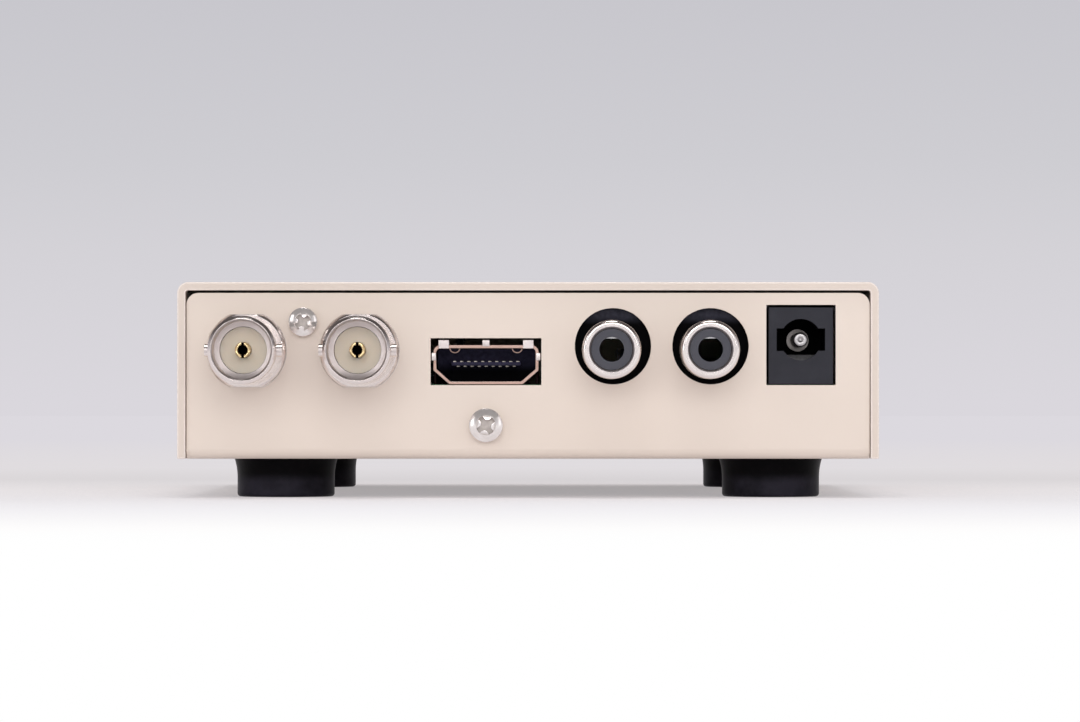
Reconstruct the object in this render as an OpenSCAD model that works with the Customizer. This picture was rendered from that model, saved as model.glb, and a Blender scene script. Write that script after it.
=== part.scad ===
// Small receiver for pictures and sound, in a folded steel case with its sockets in one end panel.
// Millimetres, +Z up, the socket panel faces -Y. The origin is on the desk under the object's middle.

/* [Case] */
// Width of the cover across its two sides
cover_w = 100; // [98:1:130]
// Height of the cover's sides
cover_h = 25.2; // [25:0.2:40]
// Length of the cover from the socket end to the lamp end
case_d = 110; // [100:1:160]
// Thickness of the cover's sheet
cover_t = 1.2; // [1:0.1:1.5]
// Outer radius of the cover's two bends
cover_bend_r = 1.6; // [1.6:0.1:3]
// Thickness of the chassis sheet
chassis_t = 1; // [0.8:0.1:1.2]
// Outer radius of the chassis bends
chassis_bend_r = 1.5; // [1.3:0.1:3]
// Gap between each panel's edge and the cover's side
side_gap = 0.1; // [0.05:0.05:0.4]
// Gap between the panels' top edge and the cover
top_gap = 0.35; // [0.1:0.05:1]
// How far each panel stands back from the cover's end
panel_recess = 0.5; // [0:0.1:2]
// Radius of the panels' top corners
panel_corner_r = 1.7; // [0.5:0.1:3]
// Height of the chassis side flanges
flange_h = 8; // [7.5:0.5:9]
// Distance from the cover's end to the flanges' end
flange_end = 8; // [6:0.5:14]
// Distance from the cover's end to the cover screws
cover_screw_end = 24; // [20:1:30]
// Number of vent slots in each side
vent_count = 9; // [3:1:11]
// Height of a vent slot
vent_l = 8; // [4:0.5:10]
// Width of a vent slot
vent_w = 1.6; // [1:0.1:2.5]
// Spacing of the vent slots
vent_pitch = 5; // [4:0.5:6]

/* [Feet] */
// Height of a rubber foot
foot_h = 5.6; // [5:0.2:12]
// Diameter of a foot where it meets the desk
foot_d = 14.1; // [12:0.1:18]
// How far a foot's wall flares out under the chassis
foot_flare_w = 0.45; // [0.2:0.05:1]
// Height of the flared band
foot_flare_h = 2.8; // [1:0.1:4]
// Distance from the cover's side to a foot's middle
foot_side = 14.8; // [12:0.2:20]
// Distance from the cover's end to a foot's middle
foot_end = 14.5; // [12:0.5:20]
// Diameter of the pocket that hides the foot screw
foot_pocket_d = 8; // [7.6:0.1:10]
// Depth of that pocket
foot_pocket_h = 3.4; // [3.2:0.1:4]

/* [Boards] */
// Height of the standoffs under the main board
standoff_h = 8; // [6:0.2:9]
// Thickness of both boards
board_t = 1.6; // [1:0.1:2]
// Gap between the socket panel and the main board
board_panel_gap = 0.8; // [0.4:0.1:2]
// Gap between the main board and a side flange
board_side_gap = 1.2; // [0.5:0.1:3]
// Gap between the main board and the lamp panel
board_lamp_gap = 3; // [1:0.2:4]

/* [Coax sockets] */
// Distance from the cover's left side to the first coax socket
bnc_side = 9.9; // [9:0.1:14]
// Spacing of the two coax sockets
bnc_pitch = 16.1; // [15.6:0.1:17]
// Height of the coax sockets' axis over the main board
bnc_rise = 4.8; // [4:0.1:6]
// Diameter of the barrel
bnc_d = 9.6; // [9.2:0.1:9.8]
// Length of the barrel in front of its shoulder
bnc_barrel_l = 11; // [9:0.2:14]
// Diameter of the shoulder that shows in the panel
bnc_shoulder_d = 11.2; // [11:0.1:12]
// Distance across the shoulder's two flats
bnc_shoulder_af = 10.2; // [10:0.05:10.8]
// How far the shoulder stands out of the panel
bnc_shoulder_h = 1.6; // [0.6:0.1:3]
// Inner diameter of the barrel's mouth
bnc_mouth_d = 8.2; // [8:0.1:8.6]
// Depth of the mouth
bnc_mouth_l = 4.5; // [4:0.1:6]
// Diameter of the insulator
bnc_core_d = 6.7; // [6:0.1:7]
// Depth of the insulator's face behind the rim
bnc_core_depth = 5.2; // [4.8:0.1:8]
// Diameter of the centre contact
bnc_contact_d = 2.2; // [1.8:0.1:2.6]
// Diameter of the hole in the centre contact
bnc_contact_hole_d = 1.4; // [1.3:0.05:1.5]
// Depth of the centre contact's tip behind the rim
bnc_contact_depth = 3; // [2:0.1:4]
// Distance across the tips of the two bayonet lugs
bnc_lug_span = 11; // [10.6:0.1:11.2]
// Diameter of a bayonet lug
bnc_lug_d = 1.8; // [1.4:0.1:2.2]
// Distance from the rim to the lugs' axis
bnc_lug_depth = 5; // [4.6:0.1:7]

/* [Picture socket] */
// Distance from the second coax socket to the picture socket
hdmi_step = 18; // [16.5:0.1:19]
// Width over the shell
hdmi_w = 15; // [14.6:0.1:15.2]
// Height over the shell
hdmi_h = 5.6; // [5.4:0.1:6]
// Length of the shell
hdmi_l = 11.5; // [10:0.5:14]
// Thickness of the shell
hdmi_t = 0.45; // [0.3:0.05:0.6]
// Width of the slanted lower corners
hdmi_slant_w = 2.3; // [1.5:0.1:3]
// Height of the slanted lower corners
hdmi_slant_h = 2; // [1.2:0.1:2.4]
// Gap between the shell and the sides of its cut-out
hdmi_hole_side = 0.4; // [0.3:0.05:1]
// Gap between the shell and the top of its cut-out
hdmi_hole_top = 1; // [0.9:0.05:1.6]
// Contacts along the upper row; the lower row has one less
hdmi_contact_count = 10; // [4:1:10]
// Drop from the shell's floor to the lock screw
lock_drop = 5.8; // [4.6:0.1:7]

/* [Sound sockets] */
// Distance from the picture socket to the first sound socket
rca_step = 17.8; // [16:0.1:19]
// Spacing of the two sound sockets
rca_pitch = 13.9; // [13.4:0.1:16]
// Height of the sound sockets' axis over the main board
rca_rise = 4.9; // [4.6:0.1:6]
// Diameter of the barrel
rca_d = 8.3; // [8:0.05:8.6]
// How far the barrel stands out of the panel
rca_reach = 9.5; // [8:0.1:12]
// Diameter of the insulator
rca_core_d = 5.9; // [5.2:0.1:6.4]
// Diameter of the hole for the plug's pin
rca_pin_d = 3.5; // [3:0.1:3.8]
// Diameter of the panel hole round a barrel
rca_hole_d = 10.9; // [10.9:0.1:12]
// Sideways offset of that hole from the barrel
rca_hole_side = 0.3; // [0:0.05:0.4]
// Upward offset of that hole from the barrel
rca_hole_up = 0.55; // [0:0.05:0.6]

/* [Power socket] */
// Distance from the second sound socket to the power socket
dc_step = 13.2; // [12.5:0.1:16]
// Width of the power socket
dc_w = 9.2; // [9:0.1:9.6]
// Height of the power socket
dc_h = 11; // [10.6:0.1:11.4]
// Length of the power socket
dc_l = 14.2; // [13:0.2:16]
// Height of its bore over the main board
dc_rise = 6.4; // [6:0.1:6.8]
// Diameter of its bore
dc_bore_d = 5.9; // [5.6:0.1:6.3]
// Depth of its bore
dc_bore_l = 9.8; // [9:0.1:10.5]
// Diameter of its centre pin
dc_pin_d = 2.1; // [1.6:0.1:2.5]
// Gap between the power socket and its cut-out
dc_hole_gap = 0.35; // [0.2:0.05:0.6]

/* [Screws] */
// Diameter of the cover screws
cover_screw_d = 2.5; // [2:0.1:3]
// Diameter of the board and foot screws
board_screw_d = 3; // [2.5:0.1:3.2]
// Diameter of the screw between the coax sockets
post_screw_d = 2; // [1.6:0.1:2.2]
// Diameter of that screw's head
post_screw_head_d = 4.1; // [3.8:0.1:4.4]
// Diameter of the lock screw
lock_screw_d = 2.5; // [2:0.1:3]
// Diameter of the lock screw's head
lock_screw_head_d = 4.8; // [4.4:0.1:5.4]

/* [Lamps] */
// Diameter of a lamp's lens
lamp_d = 3; // [2.5:0.1:4]
// How far a lens stands out of the lamp panel
lamp_proud = 1; // [0.6:0.1:3]
// Spacing of the two lamps
lamp_pitch = 9; // [8:0.5:14]
// Distance from the cover's side to the first lamp
lamp_side = 16; // [14:0.5:24]

/* [Hidden] */
$fn = 64;

// Overrun of every cut, the gap round a screw, pin or turned part in its hole, and the gap under a part
over = 1;
slip = 0.05;
hole_gap = 0.1;

// Along Y: the whole object runs from the coax sockets' rims to the lamps' tips
bnc_reach = bnc_shoulder_h + bnc_barrel_l;
reach_out = bnc_reach - panel_recess;
lamp_out = lamp_proud - panel_recess;
case_y0 = (reach_out - lamp_out - case_d) / 2;
case_y1 = case_y0 + case_d;
panel_y = case_y0 + panel_recess;
panel_in_y = panel_y + chassis_t;
lamp_y = case_y1 - panel_recess;
lamp_in_y = lamp_y - chassis_t;
chassis_d = lamp_y - panel_y;

// Along X: the cover's inside, the panels and the flanges
inside_x = cover_w / 2 - cover_t;
panel_x = inside_x - side_gap;
flange_x = panel_x - chassis_t;
board_x = flange_x - board_side_gap;

// Up: the chassis, the main board and what stands on it
base_z = foot_h;
floor_z = base_z + chassis_t;
board_z0 = floor_z + standoff_h;
board_z1 = board_z0 + board_t;
cover_top_z = base_z + cover_h;
panel_h = cover_h - cover_t - top_gap;
board_y0 = panel_in_y + board_panel_gap;
board_y1 = lamp_in_y - board_lamp_gap;
board_d = board_y1 - board_y0;

// Sockets along the panel, each stepped from the one before it
bnc_xs = [-cover_w / 2 + bnc_side, -cover_w / 2 + bnc_side + bnc_pitch];
bnc_mid_x = (bnc_xs[0] + bnc_xs[1]) / 2;
bnc_z = board_z1 + bnc_rise;
hdmi_x = bnc_xs[1] + hdmi_step;
rca_xs = [hdmi_x + rca_step, hdmi_x + rca_step + rca_pitch];
rca_z = board_z1 + rca_rise;
dc_x = rca_xs[1] + dc_step;

// Screw heads: pan heads and flat heads, with a cross recess
pan_head_share = 1.85;
flat_head_share = 1.88;
head_h_share = 0.42;
dome_share = 0.95;
recess_w_share = 0.15;
recess_l_share = 0.56;
recess_d_share = 0.55;
tip_share = 0.3;
recess_turn = 35;

// Cover screws and the nuts clinched into the flanges
cover_head_d = cover_screw_d * flat_head_share;
cover_screw_l = 5;
cover_nut_d = 5.5;
cover_nut_t = 1.8;
cover_screw_z = base_z + flange_h / 2 + chassis_t / 2;
vent_gap = 4;

// Foot screws, washers and nuts
board_head_d = board_screw_d * pan_head_share;
washer_t = 0.5;
washer_gap = 0.4;
washer_d = foot_pocket_d - 2 * washer_gap;
foot_edge_r = 0.5;
foot_screw_l = 8;
nut_af = 5.5;
nut_t = 2.4;
foot_x = cover_w / 2 - foot_side;
foot_ys = [case_y0 + foot_end, case_y1 - foot_end];

// Standoffs and screws of the main board
standoff_af = 5.5;
standoff_side = 4.5;
standoff_socket_end = 20;
standoff_lamp_end = 7;
standoff_xs = [-board_x + standoff_side, board_x - standoff_side];
standoff_ys = [board_y0 + standoff_socket_end, board_y1 - standoff_lamp_end];
board_screw_l = 6;

// Coax sockets behind the panel, and the small board that carries them
bnc_flange_d = 12.6;
bnc_flange_t = 1.5;
bnc_body_d = 10;
bnc_back = 6;
bnc_leg_d = 1.2;
bnc_leg_at = 3.3;
bnc_leg_out = 1;
bnc_neck_step = 0.2;
bnc_neck_d = bnc_d - 2 * bnc_neck_step;
bnc_rim_chamfer = 0.4;
bnc_shoulder_l = chassis_t + bnc_shoulder_h;
bnc_shoulder_chamfer = 0.4;
bnc_shoulder_face_d = bnc_shoulder_d - 2 * bnc_shoulder_chamfer;
bnc_inner_chamfer = 0.25;
bnc_lug_gap = 0.2;
bnc_smooth_l = bnc_lug_depth - bnc_lug_d / 2 - bnc_lug_gap;
bnc_contact_hole_l = 4;
bnc_contact_slot = 0.35;
bnc_contact_slot_l = 2.6;
bnc_tail_d = 1;
bnc_board_margin = 6.5;
bnc_board_h = 14.4;
bnc_board_y = panel_in_y + bnc_back;
bnc_board_x0 = bnc_xs[0] - bnc_board_margin;
bnc_board_x1 = bnc_xs[1] + bnc_board_margin;
bnc_board_clear = 0.8;
post_rise = 4.1;
post_z = bnc_z + post_rise;
post_af = 4;
post_screw_l = 4;
notch_y = bnc_board_y + board_t + bnc_leg_out + bnc_board_clear;

// Header that joins the two boards
header_pitch = 2.54;
header_count = 3;
header_h = 2.5;
header_pin = 0.64;
header_out = 0.8;
header_y0 = notch_y + bnc_board_clear;
header_z = board_z1 + header_h / 2;
header_xs = [for (i = [0 : header_count - 1]) bnc_mid_x + (i - (header_count - 1) / 2) * header_pitch];

// Picture socket: the shell stands on the main board, its front just behind the panel's face
hdmi_z = board_z1;
hdmi_recess = 0.15;
hdmi_corner_r = 0.8;
hdmi_block_depth = 6.5;
hdmi_tongue_depth = 1.4;
hdmi_tongue_t = 0.5;
hdmi_tongue_rise = 0.15;
hdmi_contact_pitch = 1;
hdmi_contact_w = 0.4;
hdmi_contact_t = 0.15;
hdmi_foot_l = 1.2;
hdmi_foot_w_share = 0.8;
hdmi_tongue_w = hdmi_contact_pitch * hdmi_contact_count - hdmi_contact_w / 4;
hdmi_tongue_y = hdmi_h / 2 + hdmi_tongue_rise;
hdmi_leg_w = 1;
hdmi_leg_out = 1;
hdmi_leg_depths = [3.4, 9.4];
hdmi_tab_t = 0.35;
hdmi_tab_h = 0.75;
hdmi_side_tab_w = 0.28;
hdmi_tab_share = 0.4;
hdmi_tab_w = 1.5;
hdmi_mid_tab_w = 1.05;
hdmi_side_tab_h = 1.05;
hdmi_side_tab_z = 3.4;
hdmi_spring_w = 1.5;
hdmi_spring_l = 4;
hdmi_spring_dip = 0.55;
hdmi_spring_share = 0.3;
hdmi_spring_bend_share = 0.72;
hdmi_spring_lift_share = 0.45;
hdmi_spring_t = 0.25;
hdmi_spring_depth = 1.1;
hdmi_tab_x = hdmi_tab_share * hdmi_w;
hdmi_top_tabs = [[-hdmi_tab_x, hdmi_tab_w], [0, hdmi_mid_tab_w], [hdmi_tab_x, hdmi_tab_w]];
hdmi_spring_xs = [-hdmi_spring_share * hdmi_w, hdmi_spring_share * hdmi_w];
lock_z = hdmi_z - lock_drop;
lock_nut_d = 5;
lock_nut_t = 2;
lock_screw_l = 5;

// Sound sockets behind the panel
rca_house_w = 12.4;
rca_house_h = 12;
rca_house_l = 9.4;
rca_house_gap = 0.2;
rca_seat_step = 0.2;
rca_seat_d = rca_d - 2 * rca_seat_step;
rca_lip_r = 0.55;
rca_groove_w = 0.3;
rca_core_recess = 0.5;
rca_sleeve_gap = 0.2;
rca_sleeve_d = rca_pin_d + 2 * rca_sleeve_gap;
rca_contact_t = 0.45;
rca_contact_d = rca_sleeve_d + 2 * rca_contact_t;
rca_contact_recess = 0.8;
rca_contact_l = 9;
rca_leaf_dip = 0.2;
rca_leg_w = 1.6;
rca_leg_t = 0.5;
rca_leg_gap = 0.3;
leg_out = 1.2;

// Power socket behind the panel
dc_recess = 0.3;
dc_notch_w = 6.9;
dc_notch_h = 3.2;
dc_pin_tip = 1;
dc_pin_base_d = 3.2;
dc_pin_base_l = 0.6;
dc_pin_round = 0.4;
dc_pin_dimple_d = 0.8;
dc_pin_dimple_l = 0.3;
dc_lip_t = 1;
dc_slot_h = 1;
dc_spring_w = 4;
dc_spring_t = 0.35;
dc_spring_gap = 0.4;
dc_spring_dip = 0.8;
dc_spring_flat_share = 0.4;
dc_spring_crest_share = 0.78;
dc_spring_fall_share = 0.86;
dc_leg_w = 2.2;
dc_leg_t = 0.8;
dc_leg_in = dc_leg_t / 2;
dc_bore_z = board_z1 + dc_rise;

// Lamps in their holders on the main board's edge
lamp_holder_w = 5;
lamp_holder_l = 6;
lamp_rise = 4.5;
lamp_flange_t = 0.8;
lamp_gap = 0.3;
lamp_leg = 0.5;
lamp_z = board_z1 + lamp_rise;
lamp_xs = [cover_w / 2 - lamp_side, cover_w / 2 - lamp_side - lamp_pitch];
lamp_leg_xs = [for (x = lamp_xs) [x - header_pitch / 2, x + header_pitch / 2]];
lamp_holder_y0 = board_y1 - lamp_holder_l;

// Parts on the main board: each place is the part's middle, as shares of the board's half width and length
chip_w = 14;
chip_h = 1.4;
lead_l = 0.8;
lead_h_share = 0.3;
lead_w = 0.4;
lead_pitch = 1;
pad_t = 0.5;
sink_w = 19;
sink_h = 6;
sink_base_t = 1.4;
sink_fin_t = 0.9;
sink_fin_count = 7;
driver_w = 10;
driver_h = 1.2;
audio_l = 9.9;
audio_w = 3.9;
audio_h = 1.6;
crystal_l = 11;
crystal_w = 4.6;
crystal_h = 3.6;
crystal_rim_h = 0.5;
crystal_rim_w = 0.4;
cap_d = 6.3;
cap_h = 5.8;
cap_base_h = 0.9;
storage_d = 10;
storage_h = 12.5;
storage_groove_r = 0.5;
storage_groove_z = 2.2;
storage_rim_w = 0.8;
storage_dish_h = 0.4;
storage_lead_d = 0.7;
storage_lead_pitch = 5;
coil_w = 7.4;
coil_h = 4.2;
coil_core_h = 0.8;
coil_waist_share = 0.7;
regulator_w = 6.6;
regulator_l = 6.2;
regulator_h = 2.3;
regulator_lead_share = 0.35;
passive_l = 2;
passive_w = 1.25;
passive_h = 0.7;
passive_cap_share = 0.22;
receiver_shares = [-0.42, 0.52];
driver_shares = [-0.12, 0.30];
audio_shares = [0.42, 0.32];
crystal_shares = [-0.42, 0.80];
regulator_shares = [0.62, 0.72];
coil_shares = [0.62, 0.52];
cap_shares = [[0.36, 0.72], [0.36, 0.56], [0.84, 0.62]];
storage_shares = [0.87, 0.29];
passive_shares = [
    [-0.02, 0.46], [0.06, 0.46], [0.14, 0.46], [-0.02, 0.54], [0.06, 0.54], [0.14, 0.54],
    [0.20, 0.28], [0.20, 0.34], [0.62, 0.34], [0.62, 0.40], [-0.76, 0.40], [-0.76, 0.46],
    [-0.76, 0.52], [-0.76, 0.58], [-0.10, 0.70], [-0.02, 0.70], [0.06, 0.70], [0.14, 0.70]
];
function on_board(s) = [s[0] * board_x, board_y0 + s[1] * board_d, board_z1];

// Socket frame: X right, Y up, Z straight out of the panel, with zero on the panel's outer face
module at_panel(x, z) {
    translate([x, panel_y, z]) rotate([90, 0, 0]) children();
}

// Lamp frame: X to the left seen from outside, Y up, Z straight out of the lamp panel
module at_lamp_panel(x, z) {
    translate([x, lamp_y, z]) rotate([90, 0, 180]) children();
}

// Outline with two round lower corners, from zero up and to the right
module tray_outline(w, h, r) {
    translate([r, 0]) square([w - 2 * r, h]);
    translate([0, r]) square([w, h - r]);
    for (x = [r, w - r]) translate([x, r]) circle(r);
}

// Bent sheet in section: a floor, two walls and their bends
module tray_section(w, h, t, r) {
    difference() {
        tray_outline(w, h, r);
        translate([t, t]) tray_outline(w - 2 * t, h, r - t);
    }
}

// Slot with round ends, standing upright in the middle
module slot_outline(w, l) {
    square([w, l - w], center = true);
    for (s = [-1, 1]) translate([0, s * (l - w) / 2]) circle(d = w);
}

// Box that stands on zero with its middle over the origin
module block(w, l, h) {
    translate([-w / 2, -l / 2, 0]) cube([w, l, h]);
}

// Cross recess in a screw head whose top is at zero
module cross_recess(head_d, turn = recess_turn) {
    depth = head_d * head_h_share * recess_d_share;
    rotate([0, 0, turn]) {
        for (a = [0, 90]) rotate([0, 0, a])
            translate([0, 0, -depth])
                block(head_d * recess_w_share, head_d * recess_l_share, depth + over);
        translate([0, 0, -depth]) cylinder(h = depth + over, d = head_d * tip_share);
    }
}

// Pan head screw: its head rises from zero and its shank goes down
module pan_screw(d, l, head_d) {
    head_h = head_d * head_h_share;
    dome_r = head_d * dome_share;
    difference() {
        union() {
            intersection() {
                cylinder(h = head_h, d = head_d);
                translate([0, 0, head_h - dome_r]) sphere(dome_r, $fn = 96);
            }
            translate([0, 0, -l]) cylinder(h = l, d = d);
        }
        translate([0, 0, head_h]) cross_recess(head_d);
    }
}

// Flat head screw: the head's face is at zero and the cone goes down to the shank
module flat_screw(d, l, head_d) {
    cone_h = (head_d - d) / 2;
    difference() {
        union() {
            translate([0, 0, -cone_h]) cylinder(h = cone_h, d1 = d, d2 = head_d);
            translate([0, 0, -l]) cylinder(h = l, d = d);
        }
        cross_recess(head_d * (1 - tip_share));
    }
}

// Hexagonal nut or spacer standing on zero, its hole as wide as the screw and a little slip
module hex_nut(af, h, d) {
    difference() {
        cylinder(h = h, d = af / cos(30), $fn = 6);
        translate([0, 0, -over]) cylinder(h = h + 2 * over, d = d + 2 * slip);
    }
}

// Places of the four cover screws: a point on the cover's side, with Z straight out of it
module at_cover_screws() {
    for (side = [-1, 1], y = [case_y0 + cover_screw_end, case_y1 - cover_screw_end])
        translate([side * cover_w / 2, y, cover_screw_z]) rotate([0, side * 90, 0]) children();
}

module at_feet() {
    for (x = [-foot_x, foot_x], y = foot_ys) translate([x, y, 0]) children();
}

module at_standoffs(z) {
    for (x = standoff_xs, y = standoff_ys) translate([x, y, z]) children();
}

// Top and two sides in one bent sheet, with flat head screw holes and vent slots
module top_cover() {
    cone_h = (cover_head_d - cover_screw_d) / 2;
    vent_z = cover_top_z - cover_t - vent_gap - vent_l / 2;
    vent_y0 = (case_y0 + case_y1) / 2 - (vent_count - 1) / 2 * vent_pitch;
    color("wheat") difference() {
        translate([-cover_w / 2, case_y1, cover_top_z]) rotate([90, 0, 0])
            linear_extrude(case_d) mirror([0, 1]) tray_section(cover_w, cover_h, cover_t, cover_bend_r);
        at_cover_screws() {
            translate([0, 0, -cover_t - over])
                cylinder(h = cover_t + 2 * over, d = cover_screw_d + 2 * hole_gap);
            translate([0, 0, -cone_h])
                cylinder(h = cone_h, d1 = cover_screw_d + 2 * slip, d2 = cover_head_d + 2 * slip);
        }
        for (i = [0 : vent_count - 1])
            translate([-cover_w / 2 - over, vent_y0 + i * vent_pitch, vent_z]) rotate([90, 0, 90])
                linear_extrude(cover_w + 2 * over) slot_outline(vent_w, vent_l);
    }
}

// Round shoulder with an upper and a lower flat, grown by a gap for the panel's hole
module shoulder_outline(gap) {
    intersection() {
        circle(d = bnc_shoulder_d + 2 * gap);
        square([bnc_shoulder_d + 4 * gap, bnc_shoulder_af + 2 * gap], center = true);
    }
}

// Everything that is cut through the socket panel, in the socket frame
module socket_cuts() {
    cut = chassis_t + 2 * over;
    for (x = bnc_xs) at_panel(x, bnc_z) translate([0, 0, over - cut])
        linear_extrude(cut) shoulder_outline(hole_gap);
    at_panel(bnc_mid_x, post_z) translate([0, 0, over - cut])
        cylinder(h = cut, d = post_screw_d + 2 * hole_gap);
    at_panel(hdmi_x, lock_z) translate([0, 0, over - cut])
        cylinder(h = cut, d = lock_screw_d + 2 * hole_gap);
    at_panel(hdmi_x, hdmi_z) translate([-hdmi_w / 2 - hdmi_hole_side, -hole_gap, over - cut])
        cube([hdmi_w + 2 * hdmi_hole_side, hdmi_h + hdmi_hole_top + hole_gap, cut]);
    for (x = rca_xs) at_panel(x + rca_hole_side, rca_z + rca_hole_up) translate([0, 0, over - cut])
        cylinder(h = cut, d = rca_hole_d);
    at_panel(dc_x, board_z1) translate([-dc_w / 2 - dc_hole_gap, -hole_gap, over - cut])
        cube([dc_w + 2 * dc_hole_gap, dc_h + dc_hole_gap + hole_gap, cut]);
}

// Floor, two end panels and two side flanges, bent from one sheet
module base_chassis() {
    flange_y0 = case_y0 + flange_end;
    flange_l = case_d - 2 * flange_end;
    color("wheat") difference() {
        union() {
            intersection() {
                translate([-panel_x, panel_y, base_z]) rotate([90, 0, 90])
                    linear_extrude(2 * panel_x) tray_section(chassis_d, panel_h, chassis_t, chassis_bend_r);
                translate([-panel_x, lamp_y + over, base_z + panel_h]) rotate([90, 0, 0])
                    linear_extrude(chassis_d + 2 * over) mirror([0, 1])
                        tray_outline(2 * panel_x, panel_h + over, panel_corner_r);
                translate([-panel_x - over, panel_y - over, base_z - over]) difference() {
                    cube([2 * (panel_x + over), chassis_d + 2 * over, panel_h + 2 * over]);
                    translate([-over, flange_y0 - panel_y + over, -over])
                        cube([2 * (panel_x + 2 * over), flange_l, panel_h + 4 * over]);
                }
            }
            translate([-panel_x, flange_y0 + flange_l, base_z]) rotate([90, 0, 0])
                linear_extrude(flange_l) tray_section(2 * panel_x, flange_h, chassis_t, chassis_bend_r);
        }
        socket_cuts();
        for (x = lamp_xs) at_lamp_panel(x, lamp_z) translate([0, 0, -chassis_t - over])
            cylinder(h = chassis_t + 2 * over, d = lamp_d + 2 * hole_gap);
        at_feet() translate([0, 0, base_z - over])
            cylinder(h = chassis_t + 2 * over, d = board_screw_d + 2 * hole_gap);
        at_cover_screws() translate([0, 0, flange_x - cover_w / 2 - over])
            cylinder(h = chassis_t + 2 * over, d = cover_screw_d + 2 * hole_gap);
    }
}

module cover_screws() {
    color("silver") at_cover_screws() flat_screw(cover_screw_d, cover_screw_l, cover_head_d);
}

// Round clinch nuts on the flanges' inner faces
module cover_nuts() {
    color("silver") at_cover_screws() translate([0, 0, flange_x - cover_w / 2 - cover_nut_t]) difference() {
        cylinder(h = cover_nut_t, d = cover_nut_d);
        translate([0, 0, -over]) cylinder(h = cover_nut_t + 2 * over, d = cover_screw_d + 2 * slip);
    }
}

// Moulded rubber foot: straight wall, round lower edge, hollow flare on top, pocket for the screw
module foot(x, y) {
    r = foot_d / 2;
    flare_r = (pow(foot_flare_h, 2) + pow(foot_flare_w, 2)) / (2 * foot_flare_w);
    color([0.1, 0.09, 0.12]) translate([x, y, 0]) difference() {
        rotate_extrude() {
            translate([0, foot_edge_r]) square([r, foot_h - foot_flare_h - foot_edge_r]);
            square([r - foot_edge_r, foot_edge_r]);
            translate([r - foot_edge_r, foot_edge_r]) circle(foot_edge_r);
            translate([0, foot_h - foot_flare_h]) difference() {
                square([r + foot_flare_w, foot_flare_h]);
                translate([r + flare_r, 0]) circle(flare_r, $fn = 128);
            }
        }
        translate([0, 0, -over]) cylinder(h = foot_pocket_h + over, d = foot_pocket_d);
        cylinder(h = foot_h + over, d = board_screw_d + 2 * hole_gap);
    }
}

module foot_washers() {
    color("silver") at_feet() translate([0, 0, foot_pocket_h - washer_t]) difference() {
        cylinder(h = washer_t, d = washer_d);
        translate([0, 0, -over]) cylinder(h = washer_t + 2 * over, d = board_screw_d + 2 * hole_gap);
    }
}

module foot_screws() {
    color("silver") at_feet() translate([0, 0, foot_pocket_h - washer_t]) rotate([180, 0, 0])
        pan_screw(board_screw_d, foot_screw_l, board_head_d);
}

module foot_nuts() {
    color("silver") at_feet() translate([0, 0, floor_z]) hex_nut(nut_af, nut_t, board_screw_d);
}

// Main board with a notch for the coax board, and holes for screws and legs
module main_board() {
    hole_h = board_t + 2 * over;
    color("darkgreen") difference() {
        translate([-board_x, board_y0, board_z0]) cube([2 * board_x, board_d, board_t]);
        translate([-board_x - over, board_y0 - over, board_z0 - over])
            cube([bnc_board_x1 + bnc_board_clear + board_x + over, notch_y - board_y0 + over, hole_h]);
        at_standoffs(board_z0 - over) cylinder(h = hole_h, d = board_screw_d + 2 * hole_gap);
        hdmi_legs(slip, over);
        for (x = rca_xs) rca_leg(x, slip, over);
        for (x = rca_xs) rca_ground_leg(x, slip, over);
        dc_legs(slip, over);
        header_drops(slip, over);
        for (i = [0, 1]) lamp_legs(i, slip, over);
        storage_leads(slip, over);
    }
}

module board_standoffs() {
    color("silver") at_standoffs(floor_z) hex_nut(standoff_af, standoff_h, board_screw_d);
}

module board_screws() {
    color("silver") at_standoffs(board_z1) pan_screw(board_screw_d, board_screw_l, board_head_d);
}

// Shoulder in the panel's hole, its round front edge chamfered
module bnc_shoulder() {
    translate([0, 0, -chassis_t]) intersection() {
        linear_extrude(bnc_shoulder_l) shoulder_outline(0);
        cylinder(h = bnc_shoulder_l, d1 = bnc_shoulder_face_d + 2 * bnc_shoulder_l,
            d2 = bnc_shoulder_face_d);
    }
}

// Coax socket's metal: bayonet barrel, shoulder in the panel, flange and body behind it, four legs
module bnc_shell(x) {
    rim = bnc_reach;
    back = -chassis_t - bnc_back;
    color("gainsboro") at_panel(x, bnc_z) difference() {
        union() {
            translate([0, 0, back]) cylinder(h = bnc_back, d = bnc_body_d);
            translate([0, 0, -chassis_t - bnc_flange_t]) cylinder(h = bnc_flange_t, d = bnc_flange_d);
            bnc_shoulder();
            cylinder(h = rim - bnc_smooth_l, d = bnc_neck_d);
            translate([0, 0, rim - bnc_smooth_l]) cylinder(h = bnc_smooth_l - bnc_rim_chamfer, d = bnc_d);
            translate([0, 0, rim - bnc_rim_chamfer])
                cylinder(h = bnc_rim_chamfer, d1 = bnc_d, d2 = bnc_d - 2 * bnc_rim_chamfer);
            translate([0, 0, rim - bnc_lug_depth]) rotate([0, 90, 0])
                cylinder(h = bnc_lug_span, d = bnc_lug_d, center = true);
            for (sx = [-1, 1], sy = [-1, 1])
                translate([sx * bnc_leg_at, sy * bnc_leg_at, back - board_t - bnc_leg_out])
                    cylinder(h = board_t + bnc_leg_out + slip, d = bnc_leg_d);
        }
        translate([0, 0, back - over]) cylinder(h = rim - back + 2 * over, d = bnc_core_d);
        translate([0, 0, rim - bnc_mouth_l]) cylinder(h = bnc_mouth_l + over, d = bnc_mouth_d);
        translate([0, 0, rim - bnc_inner_chamfer])
            cylinder(h = bnc_inner_chamfer, d1 = bnc_mouth_d, d2 = bnc_mouth_d + 2 * bnc_inner_chamfer);
    }
}

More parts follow.
